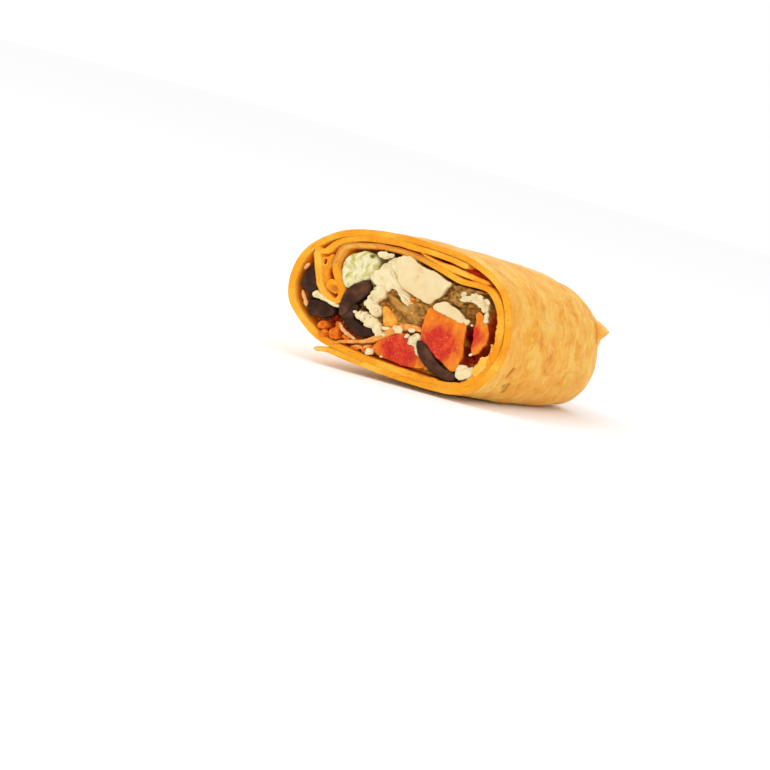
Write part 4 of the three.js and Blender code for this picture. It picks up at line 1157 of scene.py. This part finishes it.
# Pieces of the tortilla: the lip and the back of the hollow at the upper right, the dough in the
# pocket at the left, and the ragged edge at the lower right.
DOUGH = [
    ("hollow_lip", [[7.5, 21.9], [10.7, 20.3], [15, 18.2], [19.3, 16.8], [23, 15.2], [26.1, 13.8],
        [29.3, 12.4], [31.8, 11.4], [32.3, 10.5], [31.1, 10.2], [28.6, 11.1], [23.9, 12.7], [20.4, 14.1],
        [17.5, 15.2], [13.6, 17.5], [10, 19.6]],
     26, 0.5, "tortilla", 131, dict(torn=0.15, torn_size=1.4, edge=0.3, lumps=[(2, 0.3)])),
    # The back of the hollow is dark all over: painted shade.
    ("hollow_back", [[16, 18.2], [21, 16.9], [26, 15.4], [30.8, 14], [34, 11.6], [34, 9.6], [30, 11],
        [26, 12.2], [21, 14], [16, 16.4]],
     20, 3.4, "tortilla", 132, dict(torn=0.2, edge=0.4, lumps=[(2, 0.8)], dark=1.0)),
    # The pocket's fold and nub are darker in the hole and in the curl: painted shade.
    ("pocket_fold", [[-28.9, 21.6], [-27.1, 20.9], [-25.4, 20.5], [-23.9, 20.9], [-23.2, 20.4],
        [-23.8, 18.9], [-24.1, 16.8], [-25.2, 15.7], [-25.7, 13.9], [-25.4, 12.1], [-26.1, 10.4],
        [-27.1, 10.7], [-28.2, 12.5], [-28.6, 16.1]],
     30, 0.8, "tortilla", 134, dict(torn=0.35, torn_size=1.5, edge=0.8, lumps=[(2.6, 0.9), (1.2, 0.4)],
     relief=near(HOLE, 1.2, 3.0, 0.5), dark=near(HOLE, 1.2))),
    ("pocket_nub", [[-25.8, 10.9], [-25, 11.9], [-23.6, 12.1], [-22.3, 11.6], [-21.7, 10.4], [-21.6, 8.6],
        [-22.3, 7.1], [-23.8, 7.3], [-25, 8.2], [-25.9, 9.5]],
     20, 0.3, "tortilla", 133, dict(torn=0.2, torn_size=1.8, edge=0.7, dome=0.7, slope=(0.05, -0.12),
     lumps=[(2.2, 0.5)], relief=near(CURL, 1.7, 1.6, 0.5), dark=near(CURL, 1.7, 0.45))),
    ("fold_tip", [[-30.1, 23.4], [-29.1, 23.8], [-27.7, 23.7], [-27.1, 22.9], [-27.7, 22], [-28.8, 21.4],
        [-29.5, 22.1]],
     16, 0, "tortilla", 135, dict(torn=0.15, torn_size=1.2, edge=0.5, dome=0.3, lumps=[(1.6, 0.3)])),
    ("ragged_edge", [[33.2, -10.7], [33, -11.8], [32.7, -13.2], [32.1, -14.3], [31.1, -15.2], [30, -15.7],
        [28.9, -16.8], [28, -17.9], [27.5, -19.3], [26.8, -20.5], [26.4, -22], [28.2, -22.5], [30.7, -20],
        [32.7, -17.1], [34.3, -14.3], [35, -11.8]],
     10, -0.1, "tortilla", 136, dict(torn=0.5, torn_size=1.0, edge=0.5, dome=0.3, slope=(0.06, 0.05),
     lumps=[(2, 0.8), (0.9, 0.3)], pale=0.7)),
]

# Each strand has its places on the face, how far it stands out of the cut, and its width.
STRANDS = [
    ("carrot_strands", "carrot_pale", [
        ([[-17.4, -12.2], [-14.8, -11.8], [-12.6, -12.6]], -0.4, 1.2),
        ([[-13, -12.8], [-11.4, -12], [-9.6, -12.2]], -0.6, 1.4)]),
    ("pink_strands", "pink", [
        ([[-34.2, 8.4], [-33.6, 6.2], [-33, 4.2], [-32.7, 2.4]], 0.0, 1.3),
        ([[-33.1, 15.6], [-32.2, 16.8], [-31.2, 17.8]], 0.3, 1.0),
        ([[-20.4, -3.4], [-19.4, -5.8], [-17.6, -7.6], [-15.2, -9.4]], 0.4, 1.4)]),
    ("cheese_strands", "cheese", [
        ([[0.9, 8.4], [2.2, 6.2], [3.4, 5.4], [4.6, 3.6]], 0.2, 0.8),
        ([[-1.2, 18.8], [-0.6, 16.6], [0.2, 14.6], [1.0, 12.6]], 0.5, 1.5),
        ([[-2.6, 16.4], [-1.4, 14.6], [-0.4, 12.4]], 0.4, 1.2),
        ([[22.6, 6.8], [23.6, 6.2], [25.2, 5.6]], 0.3, 0.7),
        ([[-5.6, -4.9], [-4.4, -5.6], [-2.4, -5.5]], 0.3, 1.3)]),
]
STRAND_SIDES = 8
STRAND_STEP = 0.3


def strands(name, look, lines):
    """Thin strands on the cut face as one mesh, thinner at their ends."""
    points, faces = [], []
    for number, (places, out, width) in enumerate(lines):
        line = even(places, STRAND_STEP, count=120)
        side = left_of(line)
        p = raised(line, number * 9.0)
        taper = np.sqrt(np.clip(1 - np.abs(2 * np.linspace(0, 1, len(line)) - 1) ** 3, 0.02, 1))
        thick = width / 2 * (1 + waves(p, (0.45, 1.3, 151, 2))) * taper
        rise = out + waves(p, (0.3, 2.5, 152))
        rings = []
        for angle in np.arange(STRAND_SIDES) / STRAND_SIDES * 2 * math.pi:
            xz = section(line + side * (thick * math.cos(angle))[:, None])
            rings.append(bend(xz, cut_y(xz) - (rise + thick * math.sin(angle)) / OUT_SHARE))
        start = sum(map(len, points))
        last = start + STRAND_SIDES * (len(line) - 1)
        points.append(np.stack(rings, 1).reshape(-1, 3))
        faces += grid_faces(len(line), STRAND_SIDES, start)
        faces += [list(range(start, start + STRAND_SIDES))[::-1], list(range(last, last + STRAND_SIDES))]
    build(name, np.vstack(points), faces, look)


# ------------------------------------------------------------------ the mixed filling

# A tone all over, and tones round some places on the face, each within a radius.
BASE_TONE = (184, 124, 52)
# Some of these are the filling's own colours. Others paint shade: the dark reds in the slot between the
# tomatoes and in the hollow at the right, the near black in the hole of the olive ring, and the darker tones
# in the gaps under the left wall and under the lettuce.
TONES = [
    ([-26, -9], 8, (220, 92, 12)), ([-31, 13], 6, (186, 80, 10)), ([-19, -7], 6, (212, 84, 14)),
    ([21, 6], 6.5, (150, 118, 54)), ([30, 6], 4, (180, 142, 78)), ([4, 1], 9, (206, 156, 80)),
    ([24, -13.4], 4, (116, 4, 0)), ([23, -17.6], 3, (150, 30, 2)), ([25.2, -8], 5, (122, 2, 0)),
    ([25.6, -14], 5, (124, 4, 0)), ([30, -16], 6, (168, 36, 2)), ([33.6, -6], 6, (196, 62, 4)),
    ([33, -12], 5, (140, 14, 0)), ([28, -18], 3, (214, 96, 30)), ([-9, -14], 8, (236, 120, 26)),
    ([7, -6], 3.6, (130, 40, 10)), ([-11, 2], 4, (40, 24, 14)), ([-8, 20], 3.4, (120, 120, 40)),
    ([-4, 20.8], 3.4, (200, 176, 100)), ([8, -21], 5, (240, 160, 60)), ([-22, 0], 4, (120, 30, 4)),
    ([12, 17], 4, (140, 110, 50)), ([-6, 12], 5, (222, 200, 140)), ([-12, 10.4], 3, (140, 118, 50)),
    ([-22, -6], 3, (170, 40, 4)), ([-24.4, -2.6], 3.4, (150, 26, 2)), ([15, 5], 3, (120, 70, 36)),
]
# Painted light and shade next to the wall: there the filling takes the inner wall's tones, bright orange
# where light comes through the dough and dark where the wall is in shade.
WALL_LIGHT_AND_SHADE = [
    ([-34, 4], 16, (222, 104, 8)), ([-24, -12], 12, (232, 112, 14)), ([-4, -18], 14, (240, 146, 46)),
    ([14, -24], 12, (240, 150, 50)), ([34, -10], 12, (196, 62, 4)), ([30, 8], 7, (150, 96, 40)),
    ([8, 20], 14, (120, 84, 30)),
]
WALL_NEAR = 1.0                  # these fade from here
WALL_FAR = 3.2                   # to here, from the wall
# Where the filling lies deeper: the place, the radius and how much.
HOLLOWS = [([25, -10], 3.5, 2.6), ([29.5, -15.5], 4.5, 1.6), ([33.2, -6], 3.4, 1.2), ([-12, 2.5], 3, 1.5),
           ([7.4, -6.0], 2.4, 1.5), ([16, 7], 2.2, 1.0), ([20, 3.2], 2.2, 1.5), ([0, 0.5], 2, 1)]
CORE_STEP = 0.55
CORE_ROWS = 24
CORE_DEPTH = 2.5
CORE_RELIEF = [(0.9, 4.5, 61, 2), (0.5, 1.5, 62, 2)]


def tone_at(place):
    """The mixed filling's tone at each place on the face, painted shade included."""
    edge = waves(raised(place), (1.2, 2.4, 63, 2))
    tone = np.tile(colour(BASE_TONE)[:3], (len(place), 1))
    for spot, radius, shade in TONES:
        reach = np.linalg.norm(place - np.array(spot), axis=1) + edge
        share = (1 - smooth(0.35 * radius, radius, reach))[:, None]
        tone = tone * (1 - share) + np.array(colour(shade)[:3]) * share
    return tone


def core_line():
    """The outline of the filling's bulk, in section: the hollow that the sheet leaves."""
    line, _, number = sheet_line()
    facing = (number > OUTER_FROM + 14.2) & (number < TONGUE_TO - 0.6)
    outline = evened(line[facing] + left_of(line, ease=2)[facing] * (SHEET / 2 + 0.4), 0.9, True)
    return outline if area(outline) > 0 else outline[::-1]


CORE_LINE = core_line()


def filling_core():
    """The bulk of the filling, as far as it shows between the pieces."""
    flat, faces, order, rim = fill(CORE_LINE, CORE_STEP)
    place = face_place(flat)
    wall = 1 - smooth(WALL_NEAR, WALL_FAR, rim + waves(raised(place), (0.6, 3, 64)))
    depth = CORE_DEPTH + waves(raised(place), *CORE_RELIEF) + 2.4 * wall
    depth = depth + sum(near(spot, radius, amount, 0.3)(place) for spot, radius, amount in HOLLOWS)
    # Next to the wall the filling is painted with the wall's light and shade.
    reach = np.array([near(spot, radius, core=0.2)(place) for spot, radius, _ in WALL_LIGHT_AND_SHADE])
    share = reach / np.maximum(np.sum(reach, 0), 0.05)
    wall_light_shade = share.T @ np.array([colour(shade)[:3] for _, _, shade in WALL_LIGHT_AND_SHADE])
    held = (wall * np.clip(share.sum(0), 0, 1))[:, None]
    tone = tone_at(place) * (1 - held) + wall_light_shade * held
    front = cut_y(flat) + depth
    points, tones = [bend(flat, front)], [tone]
    for t in np.linspace(0, 1, CORE_ROWS)[1:]:
        points.append(bend(flat[order], front[order] * (1 - t) + (PLUG_Y + 1) * t))
        tones.append(tone[order])
    every = np.vstack([*points, points[-1].mean(0)])
    build("filling_core", every, run_back(faces, order, len(flat), CORE_ROWS - 1), "filling",
          "filling_core", tint=np.vstack([*tones, tone[:1]]))


# ------------------------------------------------------------------ loose bits

# Each has its place on the face, how far it stands out of the cut, its size across, its length
# over its width, and its turn in degrees.
CHEESE_BITS = [
    ([0.9, -6.2], 0.9, 2.6, 1.1, 20), ([-0.4, -5.4], 0.7, 1.7, 1.3, 60), ([5.4, -6.3], 0.6, 1.9, 1.2, 0),
    ([3.6, -8.2], 0.5, 1.5, 1.4, 40), ([-4.8, 20.7], 0.2, 3.2, 1.5, -20), ([-2.4, 20.4], 0.1, 1.9, 1.3, 30),
    ([26.8, -4.3], 0.5, 0.8, 1.3, 0), ([26.3, -14.8], 0.5, 1.0, 1.6, 30), ([-10, -13.9], 0.6, 2.6, 1.3, 30),
    ([-5.7, -15.6], 0.5, 0.9, 1.5, 0), ([-15.2, 0.4], 0.3, 1.2, 1.2, 0), ([-7.4, 1.0], 0.4, 1.6, 1.3, 50),
    ([-5.0, -7.8], 0.4, 1.3, 1.2, 0), ([24.2, -19.3], 0.5, 1.3, 1.5, 30), ([27.4, 6.2], 0.2, 1.7, 1.6, -20),
    ([24.0, 6.8], 0.4, 1.5, 1.3, 20), ([30.8, 1.4], 0.3, 1.6, 2.0, -80), ([32.0, 4.2], 0.1, 1.8, 1.6, -60),
]
CARROT_BITS = [
    ([-26.8, -7.2], -0.4, 3.0, 1.1, 20), ([-15.6, -12.4], -0.5, 2.2, 1.6, -10),
    ([4.8, 4.6], -0.4, 1.8, 1.4, 30), ([-12.4, -13.0], -0.5, 2.0, 1.3, 30),
    ([-18.6, -8.6], -0.2, 2.4, 1.4, -30), ([-10.6, -12.4], -0.4, 1.8, 1.5, 10),
]
SPECKED = [([-11, -1], 2.6, 4), ([-8.5, 5], 2.8, 3), ([-7, -6], 1.8, 2), ([-6, 14], 5, 4), ([27, 6], 3, 3)]
MIXED_TRIES = 1300


PHI = (1 + 5 ** 0.5) / 2
BALL_POINTS = [(-1, PHI, 0), (1, PHI, 0), (-1, -PHI, 0), (1, -PHI, 0), (0, -1, PHI), (0, 1, PHI),
               (0, -1, -PHI), (0, 1, -PHI), (PHI, 0, -1), (PHI, 0, 1), (-PHI, 0, -1), (-PHI, 0, 1)]
BALL_FACES = [(0, 11, 5), (0, 5, 1), (0, 1, 7), (0, 7, 10), (0, 10, 11), (1, 5, 9), (5, 11, 4),
              (11, 10, 2), (10, 7, 6), (7, 1, 8), (3, 9, 4), (3, 4, 2), (3, 2, 6), (3, 6, 8), (3, 8, 9),
              (4, 9, 5), (2, 4, 11), (6, 2, 10), (8, 6, 7), (9, 8, 1)]


def ball(detail):
    """The points and triangles of a unit ball, from an icosahedron split in four, detail times."""
    points, faces = [Vector(p).normalized() for p in BALL_POINTS], BALL_FACES
    for _ in range(detail):
        halves, finer = {}, []
        for a, b, c in faces:
            mids = []
            for pair in ((a, b), (b, c), (c, a)):
                key = tuple(sorted(pair))
                if key not in halves:
                    halves[key] = len(points)
                    points.append(((points[pair[0]] + points[pair[1]]) / 2).normalized())
                mids.append(halves[key])
            finer += [(a, mids[0], mids[2]), (b, mids[1], mids[0]), (c, mids[2], mids[1]), tuple(mids)]
        faces = finer
    return np.array([list(p) for p in points]), faces


def crumbs(name, places, look, seed, detail=2, rugged=0.35, tones=None):
    """Small loose bits on the cut face as one mesh."""
    unit, triangles = ball(detail)
    rng = np.random.default_rng(seed)
    points, faces = [], []
    for number, (spot, out, size, stretch, turn) in enumerate(places):
        swell = 1 + waves(unit * 1.6 + rng.uniform(0, 50, 3), (rugged, 1.0, seed, 2))
        shape = unit * swell[:, None] * size / 2 * np.array([stretch ** 0.5, 1 / stretch ** 0.5, 0.75])
        xz = section(turned(shape[:, :2], -turn)[:, :2] + np.array(spot))
        faces += [[i + number * len(unit) for i in f] for f in triangles]
        points.append(bend(xz, cut_y(xz) - (out + shape[:, 2]) / OUT_SHARE))
    fields = {} if tones is None else {"tint": np.repeat(tones, len(unit), 0)}
    build(name, np.vstack(points), faces, look, **fields)


def dark_specks():
    """A few specks of pepper on the cheese and the chicken: where, within how far, and how many."""
    rng = np.random.default_rng(9)
    return [(np.array(spot) + rng.normal(0, reach / 2, 2), 0.62, rng.uniform(0.2, 0.4), 1.3,
             rng.uniform(0, 180)) for spot, reach, count in SPECKED for _ in range(count)]


def mixed_bits():
    """The bits of the filling that lie between the larger pieces."""
    rng = np.random.default_rng(7)
    spots = rng.uniform((-35, -24), (34, 22), (MIXED_TRIES, 2))
    inside, distance = inside_outline(section(spots), CORE_LINE)
    clear = np.all([np.linalg.norm(spots - np.array(h), axis=1) > 0.8 * r for h, r, _ in HOLLOWS], 0)
    covered = np.any([inside_outline(spots, np.array(piece[1]))[0] for piece in FILLINGS if piece[3] < 1], 0)
    spots = spots[inside & (distance > 2.0) & clear & ~covered]
    # The bits take the filling's tones, painted shade included.
    tones = tone_at(spots) * rng.uniform(0.7, 1.5, (len(spots), 1))
    bits = [(spot, rng.uniform(-2.4, -1.2), rng.uniform(0.8, 2.2), rng.uniform(1, 2.4), rng.uniform(0, 180))
            for spot in spots]
    crumbs("filling_bits", bits, "filling", 71, 1, 0.5, np.clip(tones, 0, 1))


sheet()
folded_end()
end_corner()
crumple()
for *piece, how in FILLINGS:
    chunk(*piece, **how)
for *piece, how in DOUGH:
    chunk(*piece, node="tortilla", **how)
for group in STRANDS:
    strands(*group)
filling_core()
crumbs("cheese_bits", CHEESE_BITS, "cheese", 72)
crumbs("carrot_bits", CARROT_BITS, "carrot", 73)
crumbs("dark_specks", dark_specks(), "olive", 74, 1)
mixed_bits()


# ------------------------------------------------------------------ floor, light and camera

LAMPS = [("key", (-0.35, -0.45, 0.8), 0.5, 2.0), ("top", (0.25, 0.1, 0.9), 0.7, 0.5)]    # place, size, power
VIEW_BACK = np.array([0.6097, -0.7803, 0.1392])
VIEW_RIGHT = np.array([0.7364, 0.6226, 0.2646])
VIEW_UP = np.array([-0.2932, -0.0588, 0.9542])
FACE_MIDDLE = np.array([-0.25, -36.95, 25.1])
VIEW_DISTANCE = 700.0
AIM_LEFT = 4.64                  # the camera aims this far to the left of the face's middle
AIM_DOWN = 25.71                 # and below it
LENS = 91.6
SENSOR = 36.0


def studio():
    """A pale floor, plain soft light and a white surrounding."""
    bpy.ops.mesh.primitive_plane_add(size=6)
    floor = bpy.context.object
    floor.name = "floor"
    floor.data.materials.append(Shader("floor", 0.9, shine=0.0).finish((252, 252, 252)))
    world = bpy.data.worlds.new("studio")
    world.use_nodes = True
    background = world.node_tree.nodes["Background"]
    background.inputs["Color"].default_value = (1, 1, 1, 1)
    background.inputs["Strength"].default_value = 1.0
    bpy.context.scene.world = world
    bpy.context.scene.view_settings.view_transform = "Standard"
    for name, place, size, power in LAMPS:
        light = bpy.data.lights.new(name, "AREA")
        light.size = size
        light.energy = power
        lamp = bpy.data.objects.new(name, light)
        lamp.location = place
        lamp.rotation_euler = (-Vector(place)).to_track_quat("-Z", "Y").to_euler()
        bpy.context.collection.objects.link(lamp)


def camera():
    """The view along the photograph's own."""
    data = bpy.data.cameras.new("camera")
    data.lens = LENS
    data.sensor_width = SENSOR
    data.clip_start = 0.01
    piece = bpy.data.objects.new("camera", data)
    aim = FACE_MIDDLE - AIM_LEFT * VIEW_RIGHT - AIM_DOWN * VIEW_UP
    turn_to = Matrix([VIEW_RIGHT, VIEW_UP, VIEW_BACK]).transposed().to_4x4()
    piece.matrix_world = Matrix.Translation(Vector((aim + VIEW_DISTANCE * VIEW_BACK) * MM)) @ turn_to
    bpy.context.collection.objects.link(piece)
    bpy.context.scene.camera = piece


studio()
camera()
